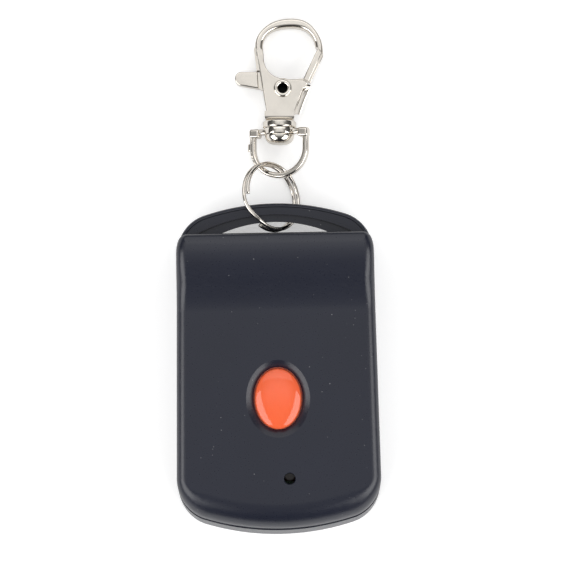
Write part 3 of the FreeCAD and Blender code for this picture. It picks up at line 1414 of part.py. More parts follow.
PLATE_CORNERS = ((-2.72, 3.95), (-4.03, 12.29), (-4.84, 17.2), (-3.44, 17.2), (-3.2, 14.8),
                 (0.4, 11.0), (4.75, 10.72), (5.85, 10.18), (5.45, 9.15), (4.88, 8.95),
                 (3.05, 3.95))
THROAT_KNEE = (-1.96, 12.2)
THROAT_CORNER = 4
HEEL_CORNERS = ((-3.8, 12.75), (-4.75, 12.75), (-5.28, 17.2), (-5.0, 18.0), (-4.2, 18.0))
HEEL_TOP = 1.0
BACK_WIDE = ((2.6, 3.95), (4.24, 3.95), (5.28, 6.9), (6.45, 9.7), (6.4, 10.12), (5.0, 10.7),
             (2.6, 10.7))
BACK_NARROW = ((2.6, 3.95), (3.25, 3.95), (4.25, 6.9), (5.35, 9.6), (5.3, 10.2), (5.0, 10.4),
               (2.6, 10.4))
BACK_STEP = 0.45


def hook_point(angle, share):
    """A point near the hook's bend, in the clasp's frame."""
    turned = math.radians(angle)
    reach = float(S.hook_radius) * share
    return Vector(float(S.hook_x) + reach * math.cos(turned),
                  float(S.hook_y) + reach * math.sin(turned), -float(S.hook_half))


def slanted_block(name, wide, narrow, low, high):
    """A plate whose outline changes from one height to another."""
    wires = []
    for corners, level in ((wide, low), (narrow, high)):
        points = [Vector(float(x), float(y), float(level)) for x, y in corners]
        wires.append(Part.makePolygon(points + [points[0]]))
    return shaped(name, Part.makeLoft(wires, True, True))


def disc_at_pivot(name, radius, high):
    """A disc round the trigger's pivot."""
    return rod(name, radius, 2 * high, (S.pivot_x, S.pivot_y, -1 * high))


def hook_bend():
    """The open bend of the hook, its nose cut round the trigger's pivot."""
    sides = []
    for table in (HOOK_OUTSIDE, HOOK_INSIDE):
        curve = Part.BSplineCurve()
        curve.interpolate([hook_point(angle, share) for angle, share in table])
        sides.append(curve)
    ends = [side.value(side.FirstParameter) for side in sides]
    lasts = [side.value(side.LastParameter) for side in sides]
    wire = Part.Wire([sides[0].toShape(), Part.LineSegment(lasts[0], ends[1]).toShape(),
                      sides[1].toShape(), Part.LineSegment(lasts[1], ends[0]).toShape()])
    solid = Part.Face(wire).extrude(Vector(0, 0, 2 * float(S.hook_half)))
    raw = shaped("HookBend", solid)
    inner_long = (sides[1].length() + 0.5) if sides[1].length() < sides[0].length() else 0

    def rim(edge):
        flat = edge.BoundBox.ZLength < 0.01
        if not flat or edge.Length < 5:
            return None
        radius = float(S.hook_soft if edge.Length < inner_long else S.hook_round)
        return radius, radius

    soft = rounded("HookBendSoft", raw, rim)
    swept = disc_at_pivot("HookMouthDisc", S.gate_reach + S.nose_gap, TALL / 6 + 0 * S.wall)
    mouth = shared("HookMouth", swept,
                   block("HookMouthLimit", (S.hook_x + S.hook_radius * 0.6, 0 * S.wall, -5 + 0 * S.wall),
                         (S.foot_width, S.foot_width, 5 + 0 * S.wall)))
    return less("HookBendCut", soft, mouth)


def hook_body():
    """The hook body: collar, neck, slotted plate with its hook, and the rivet hole."""
    collar_low = S.boss_over + S.swivel_play
    collar = rod("HookCollar", S.collar_radius, S.collar_long, (0, collar_low, 0), "y")
    collar_soft = rounded("HookCollarSoft", collar,
                          even(0.35, lambda edge: edge.Closed and edge.Length > 5))
    neck_low = collar_low + S.collar_long - 0.06
    neck = block("HookNeck", (-S.neck_half, neck_low, -S.plate_half),
                 (S.neck_half, S.plate_start + 0.3, S.plate_half))
    neck_soft = rounded("HookNeckSoft", neck, even(
        S.neck_round, lambda edge: edge.BoundBox.YMax < float(neck_low) + 0.01))
    plate = upright_block("HookPlate", PLATE_CORNERS, -S.plate_half, S.plate_half,
                          [(THROAT_CORNER, THROAT_KNEE)])
    heel = upright_block("HookHeel", HEEL_CORNERS, -S.plate_half + 0.3, HEEL_TOP)
    step = -S.plate_half + BACK_STEP
    back = upright_block("HookBack", BACK_WIDE, -S.plate_half, step)
    slope = slanted_block("HookBackSlope", BACK_WIDE, BACK_NARROW, step, -S.slot_half)

    def rim(edge):
        flat = edge.BoundBox.ZLength < 0.01
        return flat and edge.Length > 0.5

    plate_soft = rounded("HookPlateSoft", plate, even(0.25, rim))
    whole = fused("HookWhole", collar_soft, neck_soft, plate_soft, back, slope, heel, hook_bend())
    slot = block("HookSlot", (-S.foot_width, S.slot_start, -S.slot_half),
                 (S.foot_width, S.slot_end, S.slot_half))
    hole = rod("HookHole", S.pivot_radius + 0.02, 4 * S.plate_half,
               (S.pivot_x, S.pivot_y, -2 * S.plate_half))
    bore = rod("HookBore", S.swivel_radius + 0.02, S.collar_long + 0.02, (0, collar_low, 0), "y")
    return less("HookBody", whole, slot, hole, bore)


def pivot_rivet():
    """The trigger's rivet: a tube with two rolled heads, closed at its far end."""
    x = S.pivot_x
    y = S.pivot_y
    high = S.plate_half + 0.02
    heads = [rod("PivotShank", S.pivot_radius, 2 * high, (x, y, -high))]
    roll = (S.pivot_head - S.pivot_bore) * 0.45
    for name, low in (("Low", -high - S.pivot_head_high), ("High", high)):
        ring = less("PivotRing" + name, rod("PivotHead" + name, S.pivot_head, S.pivot_head_high, (x, y, low)),
                    rod("PivotEye" + name, S.pivot_bore, 2 * S.pivot_head_high, (x, y, low - 0.1)))
        level = float(low) + (float(S.pivot_head_high) if name == "High" else 0)
        heads.append(rounded("PivotSoft" + name, ring, even(
            roll, lambda edge, at=level: edge.Closed and abs(edge.BoundBox.ZMax - at) < 0.01
            and edge.BoundBox.ZLength < 0.01)))
    bore = rod("PivotBore", S.pivot_bore, 2 * high - 0.4, (x, y, 0.4 - high))
    return less("PivotRivet", fused("PivotSolid", *heads), bore)


ARM_CORNERS = ((1.2, 6.7), (5.5, 9.9), (6.05, 10.6), (5.1, 11.2), (0.4, 10.8))
TAB_CORNERS = ((-4.3, 8.95), (-8.2, 9.62), (-8.2, 12.5), (-4.55, 12.5))
TAB_END = (-9.25, 11.0)
ROOT_CORNERS = ((0.66, 6.7), (-4.5, 9.1), (-4.7, 12.4), (0.8, 11.1))
GATE_FOOT = (5.48, 10.75)


def leaning_bar(name, low, high, wide, extra):
    """A straight bar along the gate, from its foot to past its tip."""
    lean = math.radians(float(S.gate_lean))
    way = Vector(math.cos(lean), math.sin(lean), 0)
    side = Vector(-way.y, way.x, 0)
    foot = Vector(*GATE_FOOT, 0)
    top = foot + way * float(S.gate_reach)
    outer = -float(wide) / 2 - float(extra)
    inner = float(wide) / 2
    corners = [foot + side * outer, top + side * outer, top + side * inner, foot + side * inner]
    return upright_block(name, [(p.x, p.y) for p in corners], low, high)


def trigger_lever():
    """The trigger: a disc on the rivet, a gate that closes the hook and a thumb tab."""
    half = S.lever_half
    disc = disc_at_pivot("LeverDisc", S.lever_disc, half)
    arm = upright_block("LeverArm", ARM_CORNERS, -half, half)

    def long_rim(edge):
        return edge.BoundBox.ZLength < 0.01 and edge.Length > 3

    bar = rounded("GateBarSoft", leaning_bar("GateBar", -S.gate_half, S.gate_half, S.gate_wide, 0),
                  even(0.25, long_rim))
    flank = rounded("GateFlankSoft", leaning_bar("GateFlank", -S.gate_half + 0.1, 0 * half,
                                                 S.gate_wide - 0.1, S.gate_flank),
                    even(0.2, long_rim))
    gate = shared("LeverGate", fused("GateLong", bar, flank),
                  disc_at_pivot("GateTip", S.gate_reach, 2 * S.gate_half))
    root = upright_block("LeverRoot", ROOT_CORNERS, -half, half)
    tab = upright_block("LeverTab", TAB_CORNERS, -S.tab_half, S.tab_half, [(1, TAB_END)])
    tab_soft = rounded("LeverTabSoft", tab, even(0.3, lambda edge: edge.BoundBox.ZLength < 0.01))
    whole = fused("LeverWhole", disc, arm, gate, root, tab_soft)
    hole = disc_at_pivot("LeverHole", S.pivot_radius + S.pivot_clear, 2 * half)
    return less("TriggerLever", whole, hole)


def trigger_spring():
    """The bent wire spring behind the trigger, in the slot of the hook body."""
    level = 0.0
    radius = float(S.spring_wire) / 2
    points = [Vector(-2.2, 6.0, level), Vector(0.3, 5.9, level), Vector(2.9, 6.35, level)]
    curve = Part.Arc(points[0], points[1], points[2])
    return shaped("TriggerSpring", tube([curve], radius))


def clasp():
    """The five pieces of the clasp and its trigger spring."""
    makers = [("swivel_bail", swivel_bail), ("swivel_rivet", swivel_rivet),
              ("hook_body", hook_body), ("pivot_rivet", pivot_rivet),
              ("trigger_lever", trigger_lever), ("trigger_spring", trigger_spring)]
    for name, maker in makers:
        item = maker()
        document.recompute()
        roll = float(S.bail_roll) if name == "swivel_bail" else 0.0
        node(name, set_clasp(item, roll))


def build():
    """Make every piece."""
    front_shell()
    rear_shell()
    case_screws()
    button_cap()
    switch_base()
    switch_cover()
    switch_plunger()
    snap_dome()
    switch_legs()
    circuit_board()
    indicator_led()
    code_switch()
    code_sliders()
    code_switch_legs()
    encoder_chip()
    encoder_legs()
    resonator_can()
    radio_transistor()
    chip_resistors()
    chip_capacitors()
    loop_antenna()
    battery()
    battery_spring()
    node("negative_plate", contact_plate("NegativePlate", -1))
    node("positive_plate", contact_plate("PositivePlate", 1))
    split_ring()
    clasp()


def check():
    """Stop where an object has an error or a piece is not a sound solid."""
    document.recompute()
    for item in document.Objects:
        for word in item.State:
            if word in ("Invalid", "Error"):
                raise RuntimeError(f"{item.Name} is {word}")
    for name, item in NODES:
        shape = item.Shape
        if shape.isNull() or not shape.isValid() or not shape.Solids:
            raise RuntimeError(f"{name} is not a sound solid")


def export():
    """Write each piece to its own file."""
    os.makedirs("parts", exist_ok=True)
    for name, item in NODES:
        item.Shape.exportStep(f"parts/{name}.step")
        box = item.Shape.BoundBox
        print(f"{name}: {len(item.Shape.Solids)} solids, {item.Shape.Volume:.2f} mm3, "
              f"x {box.XMin:.2f}..{box.XMax:.2f} y {box.YMin:.2f}..{box.YMax:.2f} "
              f"z {box.ZMin:.2f}..{box.ZMax:.2f}")


build()
check()
export()
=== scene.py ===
"""Looks of a key-ring garage door remote, built over its packed construction model.

The remote lies on its back: a dark grey case with one orange button, a lamp hole and a raised
battery end, and above it a split ring through the case's loop with a cast swivel clasp.
Everything is in metres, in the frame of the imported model: +X right, +Y towards the clasp, +Z up.
"""

import json
import logging
import math
from dataclasses import dataclass, field
from enum import Enum
from typing import Any, Callable

import bpy
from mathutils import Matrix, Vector


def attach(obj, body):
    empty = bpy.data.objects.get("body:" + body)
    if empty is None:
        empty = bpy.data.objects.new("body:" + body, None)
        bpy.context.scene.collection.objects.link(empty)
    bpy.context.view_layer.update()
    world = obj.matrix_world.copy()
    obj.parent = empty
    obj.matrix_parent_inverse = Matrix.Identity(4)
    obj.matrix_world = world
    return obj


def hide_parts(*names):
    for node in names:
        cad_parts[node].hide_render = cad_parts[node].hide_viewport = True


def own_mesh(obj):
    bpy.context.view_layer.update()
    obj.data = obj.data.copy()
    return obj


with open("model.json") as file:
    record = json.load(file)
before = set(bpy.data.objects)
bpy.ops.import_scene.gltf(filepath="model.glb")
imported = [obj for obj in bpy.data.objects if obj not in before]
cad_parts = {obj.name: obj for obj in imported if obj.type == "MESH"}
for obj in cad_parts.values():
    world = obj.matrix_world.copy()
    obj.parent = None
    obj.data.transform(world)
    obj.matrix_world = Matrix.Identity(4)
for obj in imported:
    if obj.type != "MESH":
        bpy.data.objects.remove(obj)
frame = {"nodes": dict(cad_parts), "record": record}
LOG = logging.getLogger("remote")
MM = 0.001
Colour = tuple[float, float, float, float]
Triple = tuple[float, float, float]
Pair = tuple[float, float]
Socket = int | str
Output = tuple[bpy.types.Node, Socket]
Shaping = Callable[[bpy.types.Object], None]
# A Mix node's two colour inputs and its colour output, whose names other sockets of it share.
MIX_A = 6
MIX_B = 7
MIX_COLOUR = 2


def linear(code: str) -> Colour:
    """Turn an sRGB hex value to a linear colour.

    Args:
        code: six hex digits, such as "383A44".

    Returns:
        Red, green, blue and 1.
    """
    parts = [int(code[i:i + 2], 16) / 255 for i in (0, 2, 4)]
    flat = [c / 12.92 if c <= 0.04045 else ((c + 0.055) / 1.055) ** 2.4 for c in parts]
    return (flat[0], flat[1], flat[2], 1.0)


def scaled(colour: Colour, factor: float) -> Colour:
    """A linear colour made darker or lighter by a factor, and no lighter than white."""
    red, green, blue = (min(1.0, part * factor) for part in colour[:3])
    return (red, green, blue, 1.0)


def grey(level: float) -> Colour:
    """A neutral linear colour of one level."""
    return (level, level, level, 1.0)


def per_metre(size_mm: float) -> float:
    """The noise scale at which a pattern repeats about every so many millimetres."""
    return 1.0 / (size_mm * MM)


def add_node(tree: bpy.types.NodeTree, kind: str, settings: dict[Socket, Any] | None = None,
             links: dict[Socket, Output] | None = None,
             stops: list[tuple[float, Colour]] | None = None) -> bpy.types.Node:
    """Add one node with its settings and its links.

    Args:
        tree: the node tree that gets it.
        kind: the node's type name.
        settings: values by the name of a property, or by the name or number of an input.
        links: by the name or number of an input, the node and output that feed it.
        stops: a colour ramp's places and colours, in order.

    Returns:
        The new node.
    """
    node = tree.nodes.new(kind)
    for key, value in (settings or {}).items():
        if isinstance(key, str) and hasattr(node, key):
            setattr(node, key, value)
        else:
            node.inputs[key].default_value = value
    for key, (source, output) in (links or {}).items():
        tree.links.new(source.outputs[output], node.inputs[key])
    if stops:
        # A new ramp has two stops. The rest are added first, and then each gets its place.
        elements = node.color_ramp.elements
        while len(elements) < len(stops):
            elements.new(0.5)
        for element, (place, colour) in zip(elements, stops):
            element.position = place
            element.color = colour
    return node


def start_material(name: str) -> tuple[bpy.types.Material, bpy.types.NodeTree, bpy.types.Node,
                                       bpy.types.Node]:
    """Make a material with one shader and the object's own coordinates.

    Args:
        name: the material's name.

    Returns:
        The material, its tree, its shader and its coordinate node.
    """
    material = bpy.data.materials.new(name)
    material.use_nodes = True
    tree = material.node_tree
    tree.nodes.clear()
    shader = add_node(tree, "ShaderNodeBsdfPrincipled")
    add_node(tree, "ShaderNodeOutputMaterial", links={"Surface": (shader, "BSDF")})
    place = add_node(tree, "ShaderNodeTexCoord")
    return material, tree, shader, place


@dataclass(frozen=True)
class Dust:
    """Pale points on dark plastic, drawn up to a quarter of a millimetre wide so that they show.

    A pattern in space has one point to a cell, which reaches over a part of the cell. A share of
    the points is kept, from bright to faint, and such a point shows where it is near the surface.
    """

    strength: float
    cell_mm: float = 1.1
    reach: float = 0.12
    share: float = 0.20
    level: float = 0.8

    def over(self, tree: bpy.types.NodeTree, place: bpy.types.Node,
             tint: bpy.types.Node) -> Output:
        """Lay the dust over a tint.

        Args:
            tree: the material's node tree.
            place: its coordinate node.
            tint: the node whose first output is the bare plastic's colour.

        Returns:
            The node and output that give the dusty colour.
        """
        cells = add_node(tree, "ShaderNodeTexVoronoi", {"Scale": per_metre(self.cell_mm)},
                         {"Vector": (place, "Object")})
        point = add_node(tree, "ShaderNodeValToRGB", links={0: (cells, "Distance")},
                         stops=[(0.0, grey(1.0)), (self.reach, grey(0.0))])
        some = add_node(tree, "ShaderNodeTexWhiteNoise", {}, {"Vector": (cells, "Position")})
        rare = add_node(tree, "ShaderNodeValToRGB", links={0: (some, 0)},
                        stops=[(0.0, grey(1.0)), (self.share, grey(0.0))])
        amount = add_node(tree, "ShaderNodeMath", {"operation": "MULTIPLY"},
                          {0: (point, 0), 1: (rare, 0)})
        faint = add_node(tree, "ShaderNodeMath", {"operation": "MULTIPLY", 1: self.strength},
                         {0: (amount, 0)})
        mix = add_node(tree, "ShaderNodeMix", {"data_type": "RGBA", MIX_B: grey(self.level)},
                       {0: (faint, 0), MIX_A: (tint, 0)})
        return (mix, MIX_COLOUR)


@dataclass(frozen=True)
class MouldedPlastic:
    """Injection moulded plastic from a spark-eroded tool: even, matt, with a fine grain.

    The real grain is finer than a tenth of a millimetre, and is drawn coarser so that it shows.
    """

    name: str
    colour: str
    roughness: float = 0.5
    grain_mm: float = 0.28
    grain_high_mm: float = 0.006
    grain_span: Pair = (0.25, 0.75)
    grain_rough: float = 0.05
    grain_bump: float = 0.6
    cloud_mm: float = 14.0
    cloud_span: Pair = (0.3, 0.7)
    drift: float = 0.06
    ior: float = 1.52
    dust: Dust | None = None

    def material(self) -> bpy.types.Material:
        """Build the material.

        Returns:
            The finished material.
        """
        material, tree, shader, place = start_material(self.name)
        shade = linear(self.colour)
        cloud = add_node(tree, "ShaderNodeTexNoise",
                         {"Scale": per_metre(self.cloud_mm), "Detail": 3.0, "Roughness": 0.55},
                         {"Vector": (place, "Object")})
        tint = add_node(tree, "ShaderNodeValToRGB", links={0: (cloud, 0)},
                        stops=[(self.cloud_span[0], scaled(shade, 1 - self.drift)),
                               (self.cloud_span[1], scaled(shade, 1 + self.drift))])
        source, output = self.dust.over(tree, place, tint) if self.dust else (tint, 0)
        tree.links.new(source.outputs[output], shader.inputs["Base Color"])
        grain = add_node(tree, "ShaderNodeTexNoise",
                         {"Scale": per_metre(self.grain_mm), "Detail": 2.0, "Roughness": 0.6},
                         {"Vector": (place, "Object")})
        rough = add_node(tree, "ShaderNodeValToRGB", links={0: (grain, 0)},
                         stops=[(self.grain_span[0], grey(self.roughness - self.grain_rough)),
                                (self.grain_span[1], grey(self.roughness + self.grain_rough))])
        tree.links.new(rough.outputs[0], shader.inputs["Roughness"])
        bump = add_node(tree, "ShaderNodeBump",
                        {"Strength": self.grain_bump, "Distance": self.grain_high_mm * MM},
                        {"Height": (grain, 0)})
        tree.links.new(bump.outputs[0], shader.inputs["Normal"])
        shader.inputs["IOR"].default_value = self.ior
        return material


@dataclass(frozen=True)
class PolishedPlastic:
    """Plastic moulded in a polished tool: glossy, with a faint waviness and fine hair lines."""

    name: str
    colour: str
    roughness: float = 0.12
    wave_mm: float = 2.2
    wave_high_mm: float = 0.002
    wave_bump: float = 0.5
    cloud_mm: float = 5.0
    cloud_span: Pair = (0.35, 0.65)
    drift: float = 0.03
    scuff_mm: float = 1.6
    scuff_span: Pair = (0.45, 0.72)
    scuff_turn_deg: float = 28.0
    scuff_narrow: float = 12.0
    scuff_rough: float = 0.10
    ior: float = 1.5
    glow: float = 0.0
    glow_deep_mm: float = 0.6
    glow_colours: Triple = (1.0, 0.35, 0.2)

    def material(self) -> bpy.types.Material:
        """Build the material.

        Returns:
            The finished material.
        """
        material, tree, shader, place = start_material(self.name)
        shade = linear(self.colour)
        cloud = add_node(tree, "ShaderNodeTexNoise",
                         {"Scale": per_metre(self.cloud_mm), "Detail": 2.0},
                         {"Vector": (place, "Object")})
        tint = add_node(tree, "ShaderNodeValToRGB", links={0: (cloud, 0)},
                        stops=[(self.cloud_span[0], scaled(shade, 1 - self.drift)),
                               (self.cloud_span[1], shade)])
        tree.links.new(tint.outputs[0], shader.inputs["Base Color"])
        # Handling: hair-fine scuffs across the crown, stretched along one way.
        turned = add_node(tree, "ShaderNodeMapping",
                          {"Rotation": (0.0, 0.0, math.radians(self.scuff_turn_deg)),
                           "Scale": (1.0, self.scuff_narrow, 1.0)},
                          {"Vector": (place, "Object")})
        hair = add_node(tree, "ShaderNodeTexNoise",
                        {"Scale": per_metre(self.scuff_mm), "Detail": 4.0, "Roughness": 0.7},
                        {"Vector": (turned, 0)})
        rough = add_node(tree, "ShaderNodeValToRGB", links={0: (hair, 0)},
                         stops=[(self.scuff_span[0], grey(self.roughness)),
                                (self.scuff_span[1], grey(self.roughness + self.scuff_rough))])
        tree.links.new(rough.outputs[0], shader.inputs["Roughness"])
        wave = add_node(tree, "ShaderNodeTexNoise",
                        {"Scale": per_metre(self.wave_mm), "Detail": 1.0},
                        {"Vector": (place, "Object")})
        bump = add_node(tree, "ShaderNodeBump",
                        {"Strength": self.wave_bump, "Distance": self.wave_high_mm * MM},
                        {"Height": (wave, 0)})
        tree.links.new(bump.outputs[0], shader.inputs["Normal"])
        shader.inputs["IOR"].default_value = self.ior
        if self.glow:
            shader.inputs["Subsurface Weight"].default_value = self.glow
            shader.inputs["Subsurface Scale"].default_value = self.glow_deep_mm * MM
            shader.inputs["Subsurface Radius"].default_value = self.glow_colours
        return material


@dataclass(frozen=True)
class Marks:
    """What forming leaves on a metal: how far apart, how high, and how squeezed on each axis."""

    apart_mm: float
    high_mm: float
    squeeze: Triple = (1.0, 1.0, 1.0)


class Plating(Enum):
    """How a plated metal was shaped, with the marks that this leaves under the plate."""

    DRAWN = Marks(4.0, 0.001)
    CAST = Marks(0.9, 0.007)
    STAMPED = Marks(0.5, 0.002, (1.0, 9.0, 1.0))


@dataclass(frozen=True)
class PaintedBoreShade:
    """Painted shade in a hole along Z: inside it the plate's colour goes near black, for the
    shadow deep in the hole.

    At its rim the painted shade fades out over a part of its radius.
    """

    x_mm: float
    y_mm: float
    radius_mm: float
    fade: float = 0.1
    # The near-black colour of the painted shade in the hole.
    level: float = 0.004

    def over(self, tree: bpy.types.NodeTree, place: bpy.types.Node,
             tint: bpy.types.Node) -> Output:
        """Paint shade over a tint inside the bore.

        Args:
            tree: the material's node tree.
            place: its coordinate node.
            tint: the node whose first output is the plate's colour.

        Returns:
            The node and output that give the colour with the painted shade in its bore.
        """
        level = add_node(tree, "ShaderNodeVectorMath",
                         {"operation": "MULTIPLY", 1: (1.0, 1.0, 0.0)}, {0: (place, "Object")})
        axis = (self.x_mm * MM, self.y_mm * MM, 0.0)
        off = add_node(tree, "ShaderNodeVectorMath", {"operation": "DISTANCE", 1: axis},
                       {0: (level, 0)})
        outer = self.radius_mm * MM
        share = add_node(tree, "ShaderNodeMapRange",
                         {"From Min": outer * (1 - self.fade), "From Max": outer},
                         {"Value": (off, "Value")})
        # Painted shade: near black inside the hole, fading to the plate's colour at the rim.
        mix = add_node(tree, "ShaderNodeMix", {"data_type": "RGBA", MIX_A: grey(self.level)},
                       {0: (share, 0), MIX_B: (tint, 0)})
        return (mix, MIX_COLOUR)


@dataclass(frozen=True)
class PlatedMetal:
    """Nickel, tin or zinc plate: bright, with the marks of how the metal under it was shaped."""

    name: str
    colour: str
    plating: Plating
    roughness: float = 0.14
    cloud_mm: float = 3.0
    cloud_span: Pair = (0.35, 0.6)
    drift: float = 0.07
    marks_span: Pair = (0.35, 0.75)
    marks_rough: float = 0.12
    marks_bump: float = 0.5
    bore_shade: PaintedBoreShade | None = None

    def material(self) -> bpy.types.Material:
        """Build the material.

        Returns:
            The finished material.
        """
        material, tree, shader, place = start_material(self.name)
        shade = linear(self.colour)
        marks = self.plating.value
        turned = add_node(tree, "ShaderNodeMapping", {"Scale": marks.squeeze},
                          {"Vector": (place, "Object")})
        cloud = add_node(tree, "ShaderNodeTexNoise",
                         {"Scale": per_metre(self.cloud_mm), "Detail": 3.0},
                         {"Vector": (turned, 0)})
        tint = add_node(tree, "ShaderNodeValToRGB", links={0: (cloud, 0)},
                        stops=[(self.cloud_span[0], scaled(shade, 1 - self.drift)),
                               (self.cloud_span[1], shade)])
        # Painted shade in the pivot rivet's bore, where the finish has one.
        source, output = self.bore_shade.over(tree, place, tint) if self.bore_shade else (tint, 0)
        tree.links.new(source.outputs[output], shader.inputs["Base Color"])
        shader.inputs["Metallic"].default_value = 1.0
        dents = add_node(tree, "ShaderNodeTexNoise",
                         {"Scale": per_metre(marks.apart_mm), "Detail": 3.0, "Roughness": 0.55},
                         {"Vector": (turned, 0)})
        rough = add_node(tree, "ShaderNodeValToRGB", links={0: (dents, 0)},
                         stops=[(self.marks_span[0], grey(self.roughness)),
                                (self.marks_span[1], grey(self.roughness + self.marks_rough))])
        tree.links.new(rough.outputs[0], shader.inputs["Roughness"])
        bump = add_node(tree, "ShaderNodeBump",
                        {"Strength": self.marks_bump, "Distance": marks.high_mm * MM},
                        {"Height": (dents, 0)})
        tree.links.new(bump.outputs[0], shader.inputs["Normal"])
        return material


class Finishes:
    """Every finish on the remote, each made once."""

    table: dict[str, MouldedPlastic | PolishedPlastic | PlatedMetal] = {
        # ABS from a spark-eroded tool: dark blue-grey, even and matt, with a little dust.
        "case_plastic": MouldedPlastic("moulded_abs_dark_grey", "1A1D2A", 0.31,
                                       grain_high_mm=0.011, dust=Dust(0.45)),
        # ABS from a polished tool: warm orange with a wet gloss.
        "button_plastic": PolishedPlastic("polished_abs_orange", "F1683F", 0.05, glow=0.1),
        # Glass-filled moulding compound of chips and switches: near black, slightly grainy.
        "black_moulding": MouldedPlastic("moulded_epoxy_black", "17181A", 0.55, 0.2, 0.004),
        # Nylon of the code switch's housing: mid blue.
        "code_switch_plastic": MouldedPlastic("moulded_nylon_blue", "23498F", 0.45, 0.3, 0.004),
        # Acetal of the sliders: milky white.
        "slider_plastic": MouldedPlastic("moulded_acetal_white", "E4E3DC", 0.40, 0.3, 0.002),
        # Glass-epoxy laminate under green solder mask: an even satin.
        "board_laminate": PolishedPlastic("solder_mask_green", "1F5A35", 0.30, 1.2, 0.006),
        # Tinted epoxy of the lamp: smooth, its own dark red darkened further to near black,
        # painted shade of the deep hole it sits in.
        "lamp_body": PolishedPlastic("tinted_epoxy_red_painted_shade", "3C0D0C", 0.08),
        # Fired ceramic of the chip capacitors: dull tan.
        "capacitor_ceramic": MouldedPlastic("fired_ceramic_tan", "A98862", 0.45, 0.2, 0.002),
        # Copper trace under the mask's window, dipped in tin: pinkish and bright.
        "copper_trace": PlatedMetal("tinned_copper", "C98D5E", Plating.STAMPED, 0.22),
        # Stamped legs and springs dipped in tin: pale grey, softly bright.
        "tinned_steel": PlatedMetal("tinned_steel", "C8C8C4", Plating.STAMPED, 0.22),
        # Zinc plated screw: cool grey, a little dull.
        "steel_screw": PlatedMetal("zinc_plated_steel", "A9ACB0", Plating.STAMPED, 0.26),
        # Drawn battery can with nickel plate: warm grey and bright.
        "battery_steel": PlatedMetal("nickelled_can", "BDBCB7", Plating.STAMPED, 0.2),
        # Shrink film round the battery, bare: glossy, with slow waves.
        "battery_film": PolishedPlastic("shrink_film_blue", "2B3670", 0.18, 3.0, 0.01),
        # Spring steel with nickel plate: warm and bright, with fine lines from the strip.
        "contact_nickel": PlatedMetal("nickelled_spring_steel", "CCC8C0", Plating.STAMPED, 0.2),
        # Split ring: drawn wire with bright nickel, almost a mirror.
        "ring_nickel": PlatedMetal("bright_nickel_wire", "E0DAD2", Plating.DRAWN, 0.03),
        # Clasp: zinc casting, tumbled before its nickel, so its edges are soft. The bore is the
        # hole in the trigger's hollow pivot rivet, with painted shade inside it.
        "clasp_nickel": PlatedMetal("nickelled_zinc_casting", "E2DCD3", Plating.CAST, 0.07,
                                    bore_shade=PaintedBoreShade(2.135, 60.573, 0.95)),
    }
    made: dict[str, bpy.types.Material] = {}

    @classmethod
    def get(cls, slot: str) -> bpy.types.Material:
        """Find the material of one slot, which is made at its first use.

        Args:
            slot: the slot's name, as in the table.

        Returns:
            The slot's one material.
        """
        if slot not in cls.made:
            cls.made[slot] = cls.table[slot].material()
        return cls.made[slot]


def deselect() -> None:
    """Leave nothing selected, in object mode."""
    if bpy.context.object and bpy.context.object.mode != "OBJECT":
        bpy.ops.object.mode_set(mode="OBJECT")
    bpy.ops.object.select_all(action="DESELECT")


def take(piece: bpy.types.Object) -> None:
    """Make one piece the only one selected, and active.

    Args:
        piece: the piece that the next operator is for.
    """
    deselect()
    piece.select_set(True)
    bpy.context.view_layer.objects.active = piece


def apply_modifier(piece: bpy.types.Object, kind: str, **settings: Any) -> None:
    """Add a modifier with its settings and apply it.

    Args:
        piece: the piece that is shaped.
        kind: the modifier's type.
        **settings: its properties.
    """
    take(piece)
    modifier = piece.modifiers.new(kind.lower(), kind)
    for key, value in settings.items():
        setattr(modifier, key, value)
    bpy.ops.object.modifier_apply(modifier=modifier.name)


def dress_node(node: str, slot: str) -> None:
    """Give a CAD node the material of a slot, leaving its mesh alone.

    Args:
        node: the node's name.
        slot: the slot whose finish it gets.
    """
    piece = frame["nodes"][node]
    material = Finishes.get(slot)
    if not piece.material_slots:
        piece.data.materials.append(material)
    for place in piece.material_slots:
        place.material = material


